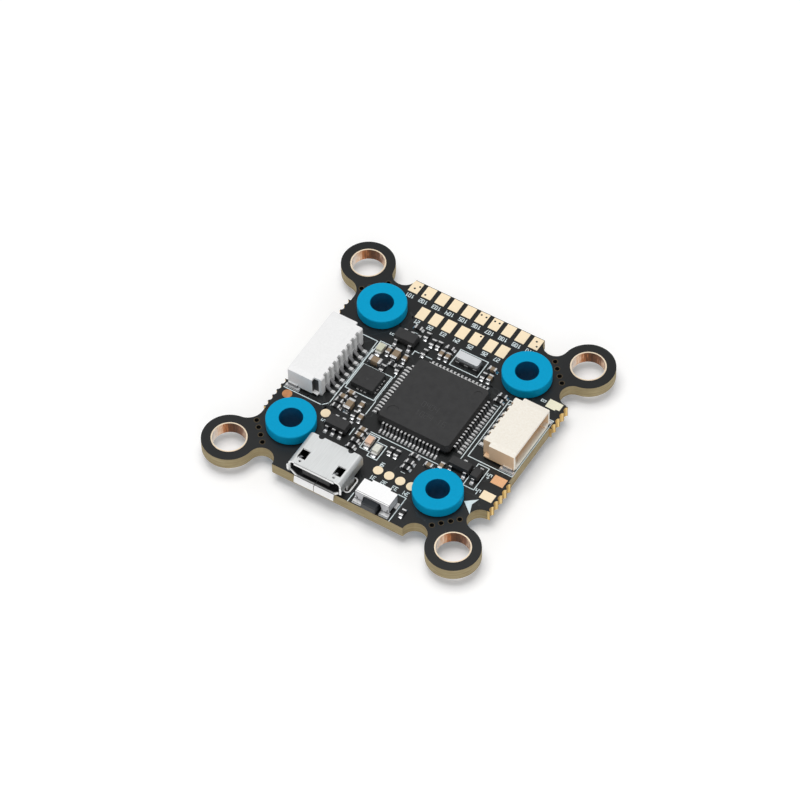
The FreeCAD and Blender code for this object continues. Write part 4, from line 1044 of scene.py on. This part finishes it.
def usb_springs():
    """A bent spring finger inside each window of the USB shell's roof."""
    low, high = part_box("usb_shell")
    middle = (low.x + high.x) / 2 + SPRING_SHIFT
    bm = bmesh.new()
    steps = 8
    corners = ((-0.5, 0), (0.5, 0), (0.5, 1), (-0.5, 1))
    for side in (-1, 1):
        x = middle + side * SPRING_HALF
        rows = []
        for n in range(steps + 1):
            t = n / steps
            y = low.y + SPRING_START + SPRING_L * t
            z = high.z - SPRING_TOP - SPRING_DIP * math.sin(math.pi * t * 0.5) ** 2
            rows.append([Vector((x + u * SPRING_W, y, z + v * SPRING_T)) for u, v in corners])
        loft(bm, rows)
    finished("usb_window_springs", bm, LID, smooth=True)


def dome_bends():
    """Gives the snap dome a mesh of its own."""
    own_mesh(NODES["boot_switch_dome"])


# ================================================================ camera, floor and light
def disc(name, radius, z):
    bm = bmesh.new()
    bm.faces.new([bm.verts.new((x, y, z)) for x, y in circle(0.0, 0.0, radius, 96)])
    mesh = bpy.data.meshes.new(name)
    bm.to_mesh(mesh)
    bm.free()
    obj = bpy.data.objects.new(name, mesh)
    bpy.context.scene.collection.objects.link(obj)
    return obj


def floor():
    g = Graph("pale_floor")
    tone = g.ramp(g.noise(60, 2.0), [(0.3, (0.9, 0.9, 0.9, 1)), (0.7, (0.93, 0.93, 0.93, 1))])
    white = (1, 1, 1, 1)
    ground = disc("floor", 3.0, LOW.z)
    ground.data.materials.append(g.finish(tone, 0.3, Emission_Color=white, Emission_Strength=0.16))


def area_light(name, aim, direction, distance, size, power):
    data = bpy.data.lights.new(name, "AREA")
    data.shape = "DISK"
    data.size = size
    data.energy = power
    lamp = bpy.data.objects.new(name, data)
    back = Vector(direction).normalized()
    lamp.location = aim + back * distance
    lamp.rotation_mode = "QUATERNION"
    lamp.rotation_quaternion = back.to_track_quat("Z", "Y")
    bpy.context.scene.collection.objects.link(lamp)


# Brightness of the sky, by the sine of the height above the horizon.
SKY = [(0.0, 0.5), (0.55, 0.85), (0.72, 0.45), (0.85, 0.22), (1.0, 0.22)]
# Direction, distance, size and power of the two lights.
KEY = ((-0.08, -0.02, 1.0), 0.5, 0.34, 1.58)
FILL = ((0.8, -0.9, 0.7), 0.6, 0.3, 0.3)


def studio():
    """A sky that is brightest part of the way up, a wide key light overhead and a weak fill."""
    world = bpy.data.worlds.new("studio")
    world.use_nodes = True
    bpy.context.scene.world = world
    tree = world.node_tree
    place = tree.nodes.new("ShaderNodeTexCoord")
    split = tree.nodes.new("ShaderNodeSeparateXYZ")
    ramp = tree.nodes.new("ShaderNodeValToRGB")
    tree.links.new(place.outputs["Generated"], split.inputs[0])
    tree.links.new(split.outputs["Z"], ramp.inputs[0])
    elements = ramp.color_ramp.elements
    while len(elements) < len(SKY):
        elements.new(0.5)
    for element, (at, level) in zip(elements, SKY):
        element.position = at
        element.color = (level, level, level, 1)
    background = tree.nodes["Background"]
    tree.links.new(ramp.outputs[0], background.inputs[0])
    background.inputs[1].default_value = 0.8
    aim = (BOARD_LOW + BOARD_HIGH) / 2
    area_light("key", aim, *KEY)
    area_light("fill", aim, *FILL)


AZIMUTH, ELEVATION, ROLL = 33.16, 52.46, -1.7      # degrees
DISTANCE = 0.528
LENS = 203.3
AIM_SHIFT = Vector((-1.09, -0.38, 0.0)) * MM


def camera():
    data = bpy.data.cameras.new("camera")
    data.lens = LENS
    data.clip_start, data.clip_end = 0.01, 10.0
    cam = bpy.data.objects.new("camera", data)
    bpy.context.scene.collection.objects.link(cam)
    a, e = math.radians(AZIMUTH), math.radians(ELEVATION)
    back = Vector((math.sin(a) * math.cos(e), -math.cos(a) * math.cos(e), math.sin(e)))
    middle = (BOARD_LOW + BOARD_HIGH) / 2
    cam.location = Vector((middle.x, middle.y, TOP)) + AIM_SHIFT + back * DISTANCE
    cam.rotation_mode = "QUATERNION"
    upright = (-back).to_track_quat("-Z", "Y")
    cam.rotation_quaternion = upright @ Quaternion((0, 0, 1), math.radians(ROLL))
    bpy.context.scene.camera = cam


paint_nodes()
board_print()
underside_print()
chip_marks()
tracks()
pad_vias()
snap_hole_rims()
chip_solder()
lead_solder()
usb_springs()
soften_edges()
dome_bends()
floor()
studio()
camera()
bpy.context.scene.view_settings.view_transform = "Standard"
